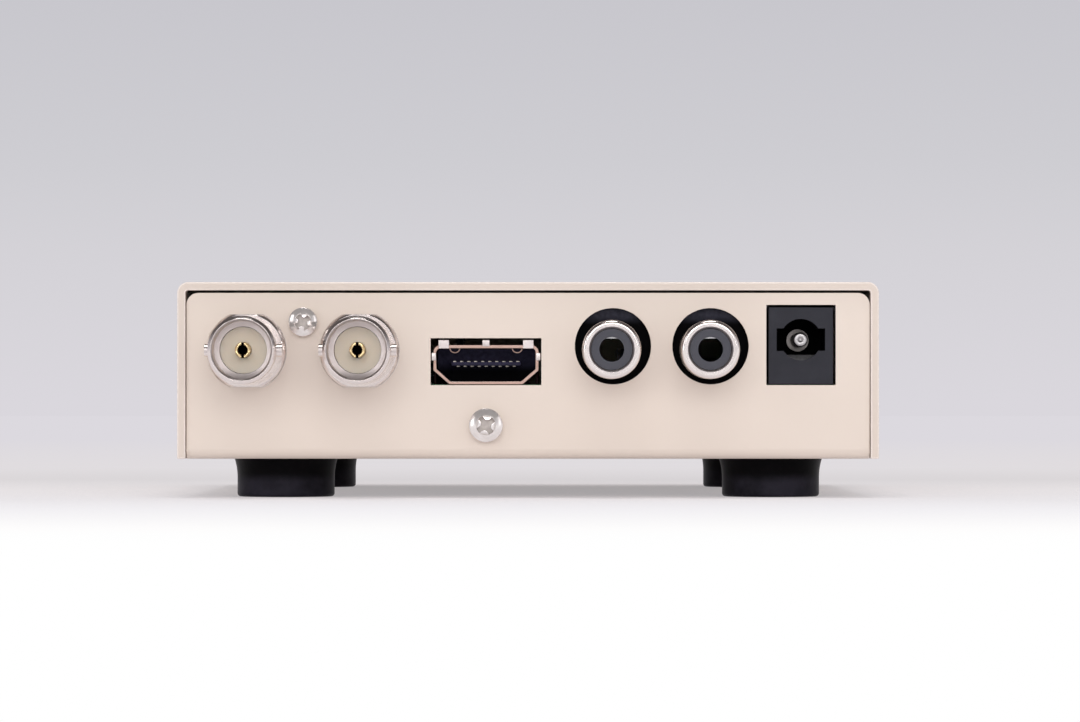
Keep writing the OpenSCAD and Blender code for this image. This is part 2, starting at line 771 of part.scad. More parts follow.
module bnc_insulator(x) {
    back = -chassis_t - bnc_back;
    color("antiquewhite") at_panel(x, bnc_z) translate([0, 0, back]) difference() {
        cylinder(h = bnc_reach - bnc_core_depth - back, d = bnc_core_d - 2 * slip);
        translate([0, 0, -over]) cylinder(h = bnc_reach - back + over, d = bnc_contact_d + 2 * slip);
    }
}

// Split socket in the insulator's middle, with a thin tail through the coax board
module bnc_contact(x) {
    tip = bnc_reach - bnc_contact_depth;
    back = -chassis_t - bnc_back;
    color("gold") at_panel(x, bnc_z) difference() {
        union() {
            translate([0, 0, back]) cylinder(h = tip - back, d = bnc_contact_d);
            translate([0, 0, back - board_t - bnc_leg_out])
                cylinder(h = board_t + bnc_leg_out + slip, d = bnc_tail_d);
        }
        translate([0, 0, tip - bnc_contact_hole_l])
            cylinder(h = bnc_contact_hole_l + over, d = bnc_contact_hole_d);
        translate([0, 0, tip - bnc_contact_slot_l])
            block(bnc_contact_slot, bnc_contact_d + over, bnc_contact_slot_l + over);
    }
}

// Upright board behind the panel that the two coax sockets are soldered to
module bnc_board() {
    hole_h = board_t + 2 * over;
    color("darkgreen") difference() {
        translate([bnc_board_x0, bnc_board_y, bnc_z - bnc_board_h / 2])
            cube([bnc_board_x1 - bnc_board_x0, board_t, bnc_board_h]);
        for (x = bnc_xs) at_panel(x, bnc_z) translate([0, 0, -chassis_t - bnc_back - board_t - over]) {
            cylinder(h = hole_h, d = bnc_tail_d + 2 * slip);
            for (sx = [-1, 1], sy = [-1, 1]) translate([sx * bnc_leg_at, sy * bnc_leg_at, 0])
                cylinder(h = hole_h, d = bnc_leg_d + 2 * slip);
        }
        at_panel(bnc_mid_x, post_z) translate([0, 0, -chassis_t - bnc_back - board_t - over])
            cylinder(h = hole_h, d = post_screw_d + 2 * hole_gap);
        header_bars(slip);
    }
}

// Threaded spacer from the panel to the coax board, with a screw at each end
module bnc_post() {
    color("silver") at_panel(bnc_mid_x, post_z) translate([0, 0, -chassis_t - bnc_back])
        hex_nut(post_af, bnc_back, post_screw_d);
}

module bnc_panel_screw() {
    color("silver") at_panel(bnc_mid_x, post_z) pan_screw(post_screw_d, post_screw_l, post_screw_head_d);
}

module bnc_board_screw() {
    color("silver") at_panel(bnc_mid_x, post_z) translate([0, 0, -chassis_t - bnc_back - board_t])
        rotate([180, 0, 0]) pan_screw(post_screw_d, post_screw_l, post_screw_head_d);
}

// Straight stretches of the header pins, through the coax board and the header's block
module header_bars(gap) {
    y0 = bnc_board_y - header_out - gap;
    w = header_pin + 2 * gap;
    for (x = header_xs) translate([x - w / 2, y0, header_z - w / 2])
        cube([w, header_y0 + header_h + header_pin + gap - y0, w]);
}

// Bent down stretches of the header pins, through the main board
module header_drops(gap, deeper) {
    z0 = board_z0 - leg_out - deeper;
    w = header_pin + 2 * gap;
    for (x = header_xs) translate([x - w / 2, header_y0 + header_h - gap, z0])
        cube([w, w, header_z + header_pin / 2 - z0]);
}

module header_block() {
    color([0.08, 0.08, 0.09]) difference() {
        translate([bnc_mid_x - header_count * header_pitch / 2, header_y0, board_z1])
            cube([header_count * header_pitch, header_h, header_h]);
        header_bars(slip);
    }
}

module header_pins() {
    color("gold") {
        header_bars(0);
        header_drops(0, 0);
    }
}

// Picture socket's outline: round upper corners, slanted lower ones, standing on zero
module hdmi_outline(inset) {
    w = hdmi_w / 2 - inset;
    top = hdmi_h - inset;
    r = hdmi_corner_r - inset;
    slant_l = norm([hdmi_slant_w, hdmi_slant_h]);
    knee = hdmi_slant_h + inset * (slant_l - hdmi_slant_h) / hdmi_slant_w;
    heel = hdmi_w / 2 - hdmi_slant_w - inset * (slant_l - hdmi_slant_w) / hdmi_slant_h;
    polygon([[-w, knee], [-heel, inset], [heel, inset], [w, knee],
        [w, top - r], [w - r, top], [r - w, top], [-w, top - r]]);
    for (s = [-1, 1]) translate([s * (w - r), top - r]) circle(r);
}

// Solder legs of the picture socket, two on each side
module hdmi_legs(gap, deeper) {
    at_panel(hdmi_x, hdmi_z) for (s = [-1, 1], d = hdmi_leg_depths)
        translate([s * (hdmi_w - hdmi_t) / 2, 0, -d]) rotate([90, 0, 0])
            block(hdmi_t + 2 * gap, hdmi_leg_w + 2 * gap, board_t + hdmi_leg_out + deeper);
}

// Folded shell with flared tabs at its mouth, two springs in its top wall and four legs
module hdmi_shell() {
    mouth = -hdmi_recess;
    spring_z = mouth - hdmi_spring_depth - hdmi_spring_l;
    window_w = hdmi_spring_w + hdmi_t;
    side_tab_w = hdmi_t + hdmi_side_tab_w;
    color("gainsboro") {
        at_panel(hdmi_x, hdmi_z) difference() {
            union() {
                translate([0, 0, mouth - hdmi_l]) linear_extrude(hdmi_l) difference() {
                    hdmi_outline(0);
                    hdmi_outline(hdmi_t);
                }
                translate([0, hdmi_h - hdmi_t, mouth - hdmi_tab_t]) for (tab = hdmi_top_tabs)
                    translate([tab[0] - tab[1] / 2, 0, 0]) cube([tab[1], hdmi_t + hdmi_tab_h, hdmi_tab_t]);
                for (s = [-1, 1]) translate([s * (hdmi_w / 2 + hdmi_side_tab_w - side_tab_w / 2), 0, 0])
                    translate([-side_tab_w / 2, hdmi_side_tab_z, mouth - hdmi_tab_t])
                        cube([side_tab_w, hdmi_side_tab_h, hdmi_tab_t]);
                for (s = [-1, 1], d = hdmi_leg_depths)
                    translate([s * (hdmi_w - hdmi_t) / 2 - hdmi_t / 2, 0, -d - hdmi_leg_w / 2])
                        cube([hdmi_t, hdmi_slant_h + hdmi_t, hdmi_leg_w]);
            }
            for (x = hdmi_spring_xs) translate([x - window_w / 2, hdmi_h - hdmi_t - slip, spring_z])
                cube([window_w, hdmi_t + over, hdmi_spring_l]);
        }
        hdmi_legs(0, 0);
        at_panel(hdmi_x, hdmi_z) for (x = hdmi_spring_xs) translate([x, hdmi_h - hdmi_t, spring_z])
            rotate([0, -90, 0]) linear_extrude(hdmi_spring_w, center = true) spring_outline();
    }
}

// Side view of a mouth spring: fixed behind, dipping into the shell, its tip turned up
module spring_outline() {
    dip = hdmi_spring_dip;
    t = hdmi_spring_t;
    l = hdmi_spring_l;
    bend = l * hdmi_spring_bend_share;
    lift = dip * hdmi_spring_lift_share;
    polygon([[-t, 0], [0, 0], [bend, -dip], [l - t, -lift],
        [l - t, t - lift], [bend, t - dip], [0, t], [-t, t]]);
}

// Contacts of the picture socket: on the tongue, through the block, then down to the board
module hdmi_contact_bars(gap) {
    back = -hdmi_recess - hdmi_l;
    for (row = [0, 1], i = [0 : hdmi_contact_count - 1 - row]) {
        x = (i - (hdmi_contact_count - 1 - row) / 2) * hdmi_contact_pitch;
        side = hdmi_tongue_t / 2;
        y = hdmi_tongue_y + (row == 0 ? side : -side - hdmi_contact_t);
        translate([x - hdmi_contact_w / 2 - gap, y - (row == 0 ? 0 : gap), back - hdmi_foot_l / 2])
            cube([hdmi_contact_w + 2 * gap, hdmi_contact_t + gap,
                hdmi_l + hdmi_foot_l / 2 - hdmi_tongue_depth - hdmi_contact_w]);
    }
}

module hdmi_contacts() {
    back = -hdmi_recess - hdmi_l;
    foot_w = hdmi_contact_w * hdmi_foot_w_share;
    color("gold") at_panel(hdmi_x, hdmi_z) {
        hdmi_contact_bars(0);
        for (row = [0, 1], i = [0 : hdmi_contact_count - 1 - row]) {
            x = (i - (hdmi_contact_count - 1 - row) / 2) * hdmi_contact_pitch;
            y = hdmi_tongue_y + (row == 0 ? hdmi_tongue_t / 2 + hdmi_contact_t : -hdmi_tongue_t / 2);
            translate([x - foot_w / 2, 0, back - hdmi_foot_l / 2]) cube([foot_w, y, hdmi_contact_t]);
            translate([x - foot_w / 2, 0, back - hdmi_foot_l])
                cube([foot_w, hdmi_contact_t, hdmi_foot_l / 2]);
        }
    }
}

// Moulded block at the shell's back with the tongue that carries the contacts
module hdmi_insulator() {
    back = -hdmi_recess - hdmi_l;
    color([0.08, 0.08, 0.13]) at_panel(hdmi_x, hdmi_z) difference() {
        union() {
            translate([0, 0, back]) linear_extrude(hdmi_l - hdmi_block_depth) hdmi_outline(hdmi_t + slip);
            translate([-hdmi_tongue_w / 2, hdmi_tongue_y - hdmi_tongue_t / 2, back])
                cube([hdmi_tongue_w, hdmi_tongue_t, hdmi_l - hdmi_tongue_depth]);
        }
        hdmi_contact_bars(slip);
    }
}

// Screw under the picture socket that a locking plug is held by, and its clinch nut
module hdmi_lock_screw() {
    color("silver") at_panel(hdmi_x, lock_z) pan_screw(lock_screw_d, lock_screw_l, lock_screw_head_d);
}

module hdmi_lock_nut() {
    color("silver") at_panel(hdmi_x, lock_z) translate([0, 0, -chassis_t - lock_nut_t]) difference() {
        cylinder(h = lock_nut_t, d = lock_nut_d);
        translate([0, 0, -over]) cylinder(h = lock_nut_t + 2 * over, d = lock_screw_d + 2 * slip);
    }
}

// Moulded body of a sound socket, on the main board behind the panel
module rca_housing(x) {
    front = -chassis_t - rca_house_gap;
    color([0.1, 0.1, 0.11]) at_panel(x, rca_z) difference() {
        translate([-rca_house_w / 2, -rca_rise, front - rca_house_l])
            cube([rca_house_w, rca_house_h, rca_house_l]);
        translate([0, 0, front - rca_house_l - over])
            cylinder(h = rca_house_l + 2 * over, d = rca_seat_d + 2 * slip);
    }
}

// Barrel of a sound socket: rolled lip in front, narrower seat inside the housing, ground leg behind
module rca_barrel(x) {
    front = -chassis_t - rca_house_gap;
    r = rca_d / 2;
    bore_r = rca_core_d / 2;
    color("gainsboro") {
        at_panel(x, rca_z) rotate_extrude() difference() {
            union() {
                translate([0, front]) square([r, rca_reach - front - rca_lip_r]);
                square([r - rca_lip_r, rca_reach]);
                translate([r - rca_lip_r, rca_reach - rca_lip_r]) circle(rca_lip_r);
                translate([0, front - rca_house_l]) square([rca_seat_d / 2, rca_house_l]);
            }
            translate([-over, front - rca_house_l - over])
                square([bore_r + over, rca_reach - front + rca_house_l + 2 * over]);
            polygon([[bore_r - slip, rca_reach - rca_core_recess], [bore_r, rca_reach - rca_core_recess],
                [bore_r + rca_groove_w, rca_reach + slip], [bore_r - slip, rca_reach + slip]]);
        }
        rca_ground_leg(x, 0, 0);
    }
}

// Ground leg: a strip behind the housing from the barrel's back down through the board
module rca_ground_leg(x, gap, deeper) {
    back = -chassis_t - rca_house_gap - rca_house_l;
    low = -rca_rise - board_t - leg_out - deeper;
    leg_x = rca_seat_d / 2 - rca_leg_t;
    at_panel(x, rca_z) translate([-leg_x - rca_leg_t - gap, low, back - rca_leg_t - gap])
        cube([rca_leg_t * 2 + 2 * gap, -low, rca_leg_t + 2 * gap]);
}

module rca_insulator(x) {
    back = -chassis_t - rca_house_gap - rca_house_l;
    front = rca_reach - rca_core_recess;
    color("dimgray") at_panel(x, rca_z) difference() {
        translate([0, 0, back]) cylinder(h = front - back, d = rca_core_d - 2 * slip);
        translate([0, 0, back - over]) {
            cylinder(h = front - back + 2 * over, d = rca_pin_d);
            cylinder(h = front - rca_contact_recess - back + over, d = rca_contact_d + 2 * slip);
        }
    }
}

// Signal leg: a strip behind the housing from the contact down through the board, clear of the barrel
module rca_leg(x, gap, deeper) {
    back = -chassis_t - rca_house_gap - rca_house_l;
    low = -rca_rise - board_t - leg_out - deeper;
    at_panel(x, rca_z) translate([-rca_leg_w / 2 - gap, low, back - rca_leg_gap - rca_leg_t - gap])
        cube([rca_leg_w + 2 * gap, -low - rca_pin_d / 2 + slip, rca_leg_t + 2 * gap]);
}

// Spring sleeve that grips the plug's pin, its leaf showing at the top of the hole
module rca_contact(x) {
    back = -chassis_t - rca_house_gap - rca_house_l;
    front = rca_reach - rca_core_recess - rca_contact_recess;
    strip_l = front - rca_contact_l - back + rca_leg_gap + rca_leg_t + slip;
    leaf_y = rca_pin_d / 2 - rca_leaf_dip;
    color("silver") {
        at_panel(x, rca_z) {
            difference() {
                translate([0, 0, front - rca_contact_l]) cylinder(h = rca_contact_l, d = rca_contact_d);
                translate([0, 0, front - rca_contact_l - over]) intersection() {
                    cylinder(h = rca_contact_l + 2 * over, d = rca_sleeve_d);
                    translate([-rca_sleeve_d, -rca_sleeve_d, 0])
                        cube([2 * rca_sleeve_d, rca_sleeve_d + leaf_y, rca_contact_l + 2 * over]);
                }
            }
            translate([0, 0, back - rca_leg_gap - rca_leg_t]) intersection() {
                cylinder(h = strip_l, d = rca_contact_d);
                translate([-rca_leg_w / 2, -rca_contact_d / 2, 0])
                    cube([rca_leg_w, (rca_contact_d - rca_sleeve_d) / 2 + slip, strip_l]);
            }
        }
        rca_leg(x, 0, 0);
    }
}

// Solder legs of the power socket, below its back, its side and its spring
module dc_legs(gap, deeper) {
    low = -board_t - leg_out - deeper;
    at_panel(dc_x, board_z1) for (d = [dc_l - dc_leg_t, dc_l / 2])
        translate([-dc_leg_w / 2 - gap, low, -dc_recess - d - dc_leg_t / 2 - gap])
            cube([dc_leg_w + 2 * gap, -low, dc_leg_t + 2 * gap]);
}

// Moulded body of the power socket: a bore with two side notches, and a slot for the spring behind its lip
module dc_jack_housing() {
    mouth = -dc_recess;
    color([0.12, 0.12, 0.14]) at_panel(dc_x, board_z1) difference() {
        translate([-dc_w / 2, 0, mouth - dc_l]) cube([dc_w, dc_h, dc_l]);
        translate([0, dc_rise, mouth - dc_bore_l]) {
            cylinder(h = dc_bore_l + over, d = dc_bore_d);
            translate([-dc_notch_w / 2, -dc_notch_h / 2, 0])
                cube([dc_notch_w, dc_notch_h, dc_bore_l + over]);
            translate([-dc_spring_w / 2 - slip, -dc_bore_d / 2 - dc_slot_h, 0])
                cube([dc_spring_w + 2 * slip, dc_bore_d / 2 + dc_slot_h, dc_bore_l - dc_lip_t]);
        }
        translate([0, dc_rise, mouth - dc_l - over]) cylinder(h = dc_l, d = dc_pin_d + 2 * slip);
        translate([-dc_leg_w / 2 - slip, -over, mouth - dc_l - over])
            cube([dc_leg_w + 2 * slip, dc_rise + over, dc_leg_in + dc_leg_t + over + slip]);
        translate([-dc_leg_w / 2 - slip, -over, mouth - dc_l / 2 - dc_leg_t / 2 - slip])
            cube([dc_leg_w + 2 * slip, dc_rise - dc_bore_d / 2 + over, dc_leg_t + 2 * slip]);
    }
}

// Centre pin with a round, dimpled tip and a collar at the bore's floor, and its leg behind
module dc_jack_pin() {
    floor_at = -dc_recess - dc_bore_l;
    back = -dc_recess - dc_l;
    tip = -dc_recess - dc_pin_tip;
    r = dc_pin_d / 2;
    color("silver") at_panel(dc_x, board_z1) {
        translate([0, dc_rise, 0]) {
            rotate_extrude() difference() {
                union() {
                    translate([0, back + dc_leg_in]) square([r, tip - dc_pin_round - back - dc_leg_in]);
                    translate([0, tip - 2 * dc_pin_round]) square([r - dc_pin_round, 2 * dc_pin_round]);
                    translate([r - dc_pin_round, tip - dc_pin_round]) circle(dc_pin_round);
                }
                polygon([[-slip, tip - dc_pin_dimple_l], [0, tip - dc_pin_dimple_l],
                    [dc_pin_dimple_d / 2, tip], [dc_pin_dimple_d / 2, tip + slip], [-slip, tip + slip]]);
            }
            translate([0, 0, floor_at]) cylinder(h = dc_pin_base_l, d = dc_pin_base_d);
        }
        translate([-dc_leg_w / 2, -board_t - leg_out, back + dc_leg_in])
            cube([dc_leg_w, board_t + leg_out + dc_rise - slip, dc_leg_t]);
    }
}

// Leaf spring in the bore's lower slot, with its leg through the board
module dc_jack_spring() {
    l = dc_bore_l - dc_lip_t - dc_spring_gap;
    low_y = dc_rise - dc_bore_d / 2 - dc_slot_h;
    color("silver") at_panel(dc_x, board_z1) {
        translate([0, low_y, -dc_recess - dc_bore_l]) rotate([0, -90, 0])
            linear_extrude(dc_spring_w, center = true) spring_leaf(l);
        translate([-dc_leg_w / 2, -board_t - leg_out, -dc_recess - dc_l / 2 - dc_leg_t / 2])
            cube([dc_leg_w, board_t + leg_out + low_y + dc_spring_t / 2, dc_leg_t]);
    }
}

// Side view of the leaf: flat behind, then up into the bore to press on a plug, its tip back in the slot
module spring_leaf(l) {
    t = dc_spring_t;
    up = dc_slot_h + dc_spring_dip - t;
    flat = l * dc_spring_flat_share;
    crest = l * dc_spring_crest_share;
    fall = l * dc_spring_fall_share;
    polygon([[0, 0], [flat, 0], [crest, up], [fall, up], [l, up / 2],
        [l, up / 2 + t], [fall, up + t], [crest, up + t], [flat, t], [0, t]]);
}

// Chip body with leads on two or four sides
module chip(w, l, h, sides) {
    lead_z = h * lead_h_share;
    leads_w = floor((w - lead_pitch) / lead_pitch);
    leads_l = floor((l - lead_pitch) / lead_pitch);
    translate([0, 0, slip]) block(w, l, h - slip);
    for (s = [-1, 1], i = [0 : leads_w - 1])
        translate([(i - (leads_w - 1) / 2) * lead_pitch, s * (l + lead_l) / 2, 0])
            block(lead_w, lead_l, lead_z);
    if (sides == 4) for (s = [-1, 1], i = [0 : leads_l - 1])
        translate([s * (w + lead_l) / 2, (i - (leads_l - 1) / 2) * lead_pitch, 0])
            block(lead_l, lead_w, lead_z);
}

module receiver_chip() {
    color([0.13, 0.13, 0.14]) translate(on_board(receiver_shares)) chip(chip_w, chip_w, chip_h, 4);
}

module thermal_pad() {
    color("lightsteelblue") translate(on_board(receiver_shares)) translate([0, 0, chip_h])
        block(chip_w, chip_w, pad_t);
}

// Finned heat sink stuck to the receiver chip
module heat_sink() {
    step = (sink_w - sink_fin_t) / (sink_fin_count - 1);
    color("darkgray") translate(on_board(receiver_shares)) translate([0, 0, chip_h + pad_t]) {
        block(sink_w, sink_w, sink_base_t);
        for (i = [0 : sink_fin_count - 1]) translate([(i - (sink_fin_count - 1) / 2) * step, 0, 0])
            block(sink_fin_t, sink_w, sink_h);
    }
}

module hdmi_driver_chip() {
    color([0.13, 0.13, 0.14]) translate(on_board(driver_shares)) chip(driver_w, driver_w, driver_h, 4);
}

module audio_chip() {
    color([0.13, 0.13, 0.14]) translate(on_board(audio_shares)) chip(audio_l, audio_w, audio_h, 2);
}

// Crystal can: a rounded cap on a wider flange
module crystal() {
    straight = crystal_l - crystal_w;
    color("silver") translate(on_board(crystal_shares))
        for (part = [[crystal_rim_h, crystal_w / 2], [crystal_h, crystal_w / 2 - crystal_rim_w]]) {
            block(straight, 2 * part[1], part[0]);
            for (s = [-1, 1]) translate([s * straight / 2, 0, 0]) cylinder(h = part[0], r = part[1]);
        }
}

// Can capacitors on square plastic bases
module capacitors() {
    color("silver") for (s = cap_shares) translate(on_board(s)) {
        block(cap_d, cap_d, cap_base_h);
        cylinder(h = cap_h, d = cap_d - slip);
    }
}

// Leads of the tall capacitor, through the main board
module storage_leads(gap, deeper) {
    translate(on_board(storage_shares)) for (s = [-1, 1])
        translate([s * storage_lead_pitch / 2, 0, -board_t - leg_out - deeper])
            cylinder(h = board_t + leg_out + slip + 2 * deeper, d = storage_lead_d + 2 * gap);
}

// Tall can capacitor behind the power socket, with a groove over its seal and a shallow dish on top
module storage_capacitor() {
    r = storage_d / 2;
    color([0.14, 0.14, 0.17]) {
        translate(on_board(storage_shares)) rotate_extrude() difference() {
            square([r, storage_h]);
            translate([r + storage_groove_r / 2, storage_groove_z]) circle(storage_groove_r);
            translate([0, storage_h - storage_dish_h]) square([r - storage_rim_w, storage_dish_h + over]);
        }
        storage_leads(0, 0);
    }
}

module power_inductor() {
    color("dimgray") translate(on_board(coil_shares)) {
        block(coil_w, coil_w, coil_core_h);
        cylinder(h = coil_h, d = coil_w * coil_waist_share);
        translate([0, 0, coil_h - coil_core_h]) cylinder(h = coil_core_h, d = coil_w);
    }
}

module voltage_regulator() {
    color([0.13, 0.13, 0.14]) translate(on_board(regulator_shares)) {
        block(regulator_w, regulator_l, regulator_h);
        for (s = [-1, 1]) translate([s * regulator_lead_share * regulator_w, -regulator_l / 2 - lead_l, 0])
            block(lead_w * 2, lead_l * 2, lead_w);
    }
}

// Small resistors and capacitors with raised end caps, each one a separate solid
module small_passives() {
    cap_l = passive_l * passive_cap_share;
    color("tan") for (s = passive_shares) translate(on_board(s)) {
        block(passive_w - 2 * slip, passive_l, passive_h);
        for (e = [-1, 1]) translate([0, e * (passive_l - cap_l) / 2, 0])
            block(passive_w, cap_l, passive_h + slip);
    }
}

// Legs of a lamp, through the main board behind its holder
module lamp_legs(i, gap, deeper) {
    z0 = board_z0 - leg_out - deeper;
    w = lamp_leg + 2 * gap;
    for (x = lamp_leg_xs[i]) translate([x - w / 2, lamp_holder_y0 - lamp_leg - gap, z0])
        cube([w, w, lamp_z + lamp_leg / 2 - z0]);
}

// Lens with a domed tip in the panel's hole, a flange on its holder and two legs behind
module lamp(i, tint) {
    r = lamp_d / 2;
    tip = lamp_proud;
    flange_at = lamp_holder_y0 + lamp_holder_l;
    color(tint) {
        at_lamp_panel(lamp_xs[i], lamp_z) {
            translate([0, 0, flange_at - lamp_y]) cylinder(h = lamp_y - flange_at + tip - r, d = lamp_d);
            translate([0, 0, tip - r]) sphere(r);
            translate([0, 0, flange_at - lamp_y]) cylinder(h = lamp_flange_t, d = lamp_d + 2 * lamp_gap);
            for (s = [-1, 1]) translate([s * header_pitch / 2, 0, lamp_holder_y0 - lamp_y - lamp_leg])
                block(lamp_leg, lamp_leg, lamp_holder_l + lamp_leg + slip);
        }
        lamp_legs(i, 0, 0);
    }
}

// Square holders that turn the lamps towards the panel
module lamp_holders() {
    w = lamp_leg + 2 * slip;
    color([0.08, 0.08, 0.09]) for (i = [0, 1]) difference() {
        translate([lamp_xs[i] - lamp_holder_w / 2, lamp_holder_y0, board_z1])
            cube([lamp_holder_w, lamp_holder_l, lamp_rise + lamp_holder_w / 2]);
        for (x = lamp_leg_xs[i]) translate([x - w / 2, lamp_holder_y0 - over, lamp_z - w / 2])
            cube([w, lamp_holder_l + 2 * over, w]);
    }
}

top_cover();
base_chassis();
cover_screws();
cover_nuts();
foot(-foot_x, foot_ys[0]);  // foot_socket_left
foot(foot_x, foot_ys[0]);  // foot_socket_right
foot(-foot_x, foot_ys[1]);  // foot_lamp_left
foot(foot_x, foot_ys[1]);  // foot_lamp_right
foot_washers();
foot_screws();
foot_nuts();
main_board();
board_standoffs();
board_screws();
bnc_shell(bnc_xs[0]);  // bnc_in_shell
bnc_insulator(bnc_xs[0]);  // bnc_in_insulator
bnc_contact(bnc_xs[0]);  // bnc_in_contact
bnc_shell(bnc_xs[1]);  // bnc_out_shell
bnc_insulator(bnc_xs[1]);  // bnc_out_insulator
bnc_contact(bnc_xs[1]);  // bnc_out_contact
bnc_board();
bnc_post();
bnc_panel_screw();
bnc_board_screw();
header_block();
header_pins();
hdmi_shell();
hdmi_insulator();
hdmi_contacts();
hdmi_lock_screw();
hdmi_lock_nut();
rca_housing(rca_xs[0]);  // rca_left_housing
rca_barrel(rca_xs[0]);  // rca_left_barrel
rca_insulator(rca_xs[0]);  // rca_left_insulator
rca_contact(rca_xs[0]);  // rca_left_contact
rca_housing(rca_xs[1]);  // rca_right_housing
rca_barrel(rca_xs[1]);  // rca_right_barrel
rca_insulator(rca_xs[1]);  // rca_right_insulator
rca_contact(rca_xs[1]);  // rca_right_contact
dc_jack_housing();
dc_jack_pin();
dc_jack_spring();
receiver_chip();
thermal_pad();
heat_sink();
hdmi_driver_chip();
audio_chip();
crystal();
capacitors();
storage_capacitor();
power_inductor();
voltage_regulator();
small_passives();
lamp_holders();
lamp(0, "limegreen");  // power_lamp
lamp(1, "dodgerblue");  // link_lamp
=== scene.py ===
import math

import bpy
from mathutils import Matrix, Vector


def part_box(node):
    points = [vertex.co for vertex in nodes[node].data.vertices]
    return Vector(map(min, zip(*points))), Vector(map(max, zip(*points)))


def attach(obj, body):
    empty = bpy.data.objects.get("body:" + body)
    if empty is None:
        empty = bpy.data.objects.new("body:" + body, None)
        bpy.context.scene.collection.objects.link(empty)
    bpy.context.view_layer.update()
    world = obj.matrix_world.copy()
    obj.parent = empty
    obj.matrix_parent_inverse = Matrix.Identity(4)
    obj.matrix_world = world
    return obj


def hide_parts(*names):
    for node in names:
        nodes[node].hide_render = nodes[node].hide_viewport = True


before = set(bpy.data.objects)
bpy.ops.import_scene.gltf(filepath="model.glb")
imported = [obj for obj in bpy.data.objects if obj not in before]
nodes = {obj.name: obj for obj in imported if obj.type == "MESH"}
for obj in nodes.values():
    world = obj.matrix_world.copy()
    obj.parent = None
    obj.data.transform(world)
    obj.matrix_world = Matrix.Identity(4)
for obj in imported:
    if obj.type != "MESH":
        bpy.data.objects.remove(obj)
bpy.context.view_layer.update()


# ---- Camera ----
# The socket panel is looked at squarely from 0.7 m with a long lens. The lens stands at the height of
# the case's lower half, so the desk behind the case shows as a narrow band.

MM = 0.001
PANEL_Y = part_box("base_chassis")[0][1] / MM
CAMERA_DISTANCE = 690
CAMERA_X = 1.7
CAMERA_Z = 13.7
CAMERA_PITCH = 90.485
SENSOR_WIDTH = 36
FOCAL_LENGTH = 161.4
SIGHT = 20

camera = bpy.data.objects.new("camera", bpy.data.cameras.new("camera"))
bpy.context.scene.collection.objects.link(camera)
camera.data.sensor_width = SENSOR_WIDTH
camera.data.lens = FOCAL_LENGTH
camera.data.clip_end = SIGHT
camera.location = (CAMERA_X * MM, (PANEL_Y - CAMERA_DISTANCE) * MM, CAMERA_Z * MM)
camera.rotation_euler = (math.radians(CAMERA_PITCH), 0, 0)
bpy.context.scene.camera = camera


# ---- Case ----
# A chassis and a cover, each bent from one sheet of cold rolled steel: the sockets' holes are punched
# first, then the sheet is folded and powder coated. The coat rounds every cut edge a little.

EDGE_COAT = 0.14
EDGE_COVER = 0.2
PEEL_MM = 0.55
CLOUD_MM = 14
JOIN_MM = 0.0005
FLAT_ANGLE = math.radians(0.6)
EDGE_ANGLE = math.radians(32)
EDGE_STEPS = 3
# Where a colour mix node takes its share and its two colours, and where it gives the result
FACTOR, COLOUR_A, COLOUR_B, MIXED = 0, 6, 7, 2
# Most of a noise lies between these two values
NOISE_LOW, NOISE_HIGH = 0.3, 0.7


def linear(colour):
    """An sRGB hex colour as linear red, green, blue and alpha."""
    shares = [int(colour[i:i + 2], 16) / 255 for i in (0, 2, 4)]
    return [c / 12.92 if c <= 0.04045 else ((c + 0.055) / 1.055) ** 2.4 for c in shares] + [1]


def add(owner, kind, inputs=(), **settings):
    """Adds a node to a material or world, sets its settings, and fills its inputs or links them."""
    node = owner.node_tree.nodes.new(kind)
    for name, value in settings.items():
        setattr(node, name, value)
    for name, value in dict(inputs).items():
        if isinstance(value, bpy.types.NodeSocket):
            owner.node_tree.links.new(value, node.inputs[name])
        else:
            node.inputs[name].default_value = value
    return node


def blank(name):
    """An empty material that a finish is built in."""
    material = bpy.data.materials.new(name)
    material.use_nodes = True
    material.node_tree.nodes.clear()
    return material


def per_mm(size):
    """Scale of a pattern whose features repeat every so many millimetres."""
    return 1 / (size * MM)


def round_edges(thing, edge):
    """Rounds the cut edges of a piece and keeps its flat faces flat."""
    weld = thing.modifiers.new("join", "WELD")
    weld.merge_threshold = JOIN_MM * MM
    flat = thing.modifiers.new("flat faces", "DECIMATE")
    flat.decimate_type = "DISSOLVE"
    flat.angle_limit = FLAT_ANGLE
    flat.delimit = {"MATERIAL"}
    bevel = thing.modifiers.new("edges", "BEVEL")
    bevel.width = edge * MM
    bevel.segments = EDGE_STEPS
    bevel.limit_method = "ANGLE"
    bevel.angle_limit = EDGE_ANGLE
    bevel.use_clamp_overlap = False
    bevel.offset_type = "ABSOLUTE"
    shade = thing.modifiers.new("shading", "WEIGHTED_NORMAL")
    shade.weight = 100


def paint(material, test, *names):
    """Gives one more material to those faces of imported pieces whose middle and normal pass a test."""
    for name in names:
        mesh = nodes[name].data
        mesh.materials.append(material)
        slot = len(mesh.materials) - 1
        for face in mesh.polygons:
            if test(face.center / MM, face.normal):
                face.material_index = slot


def finish(material, edge, *names):
    """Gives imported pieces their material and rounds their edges."""
    for name in names:
        thing = nodes[name]
        thing.data.materials.clear()
        thing.data.materials.append(material)
        for face in thing.data.polygons:
            face.use_smooth = True
        if edge:
            round_edges(thing, edge)


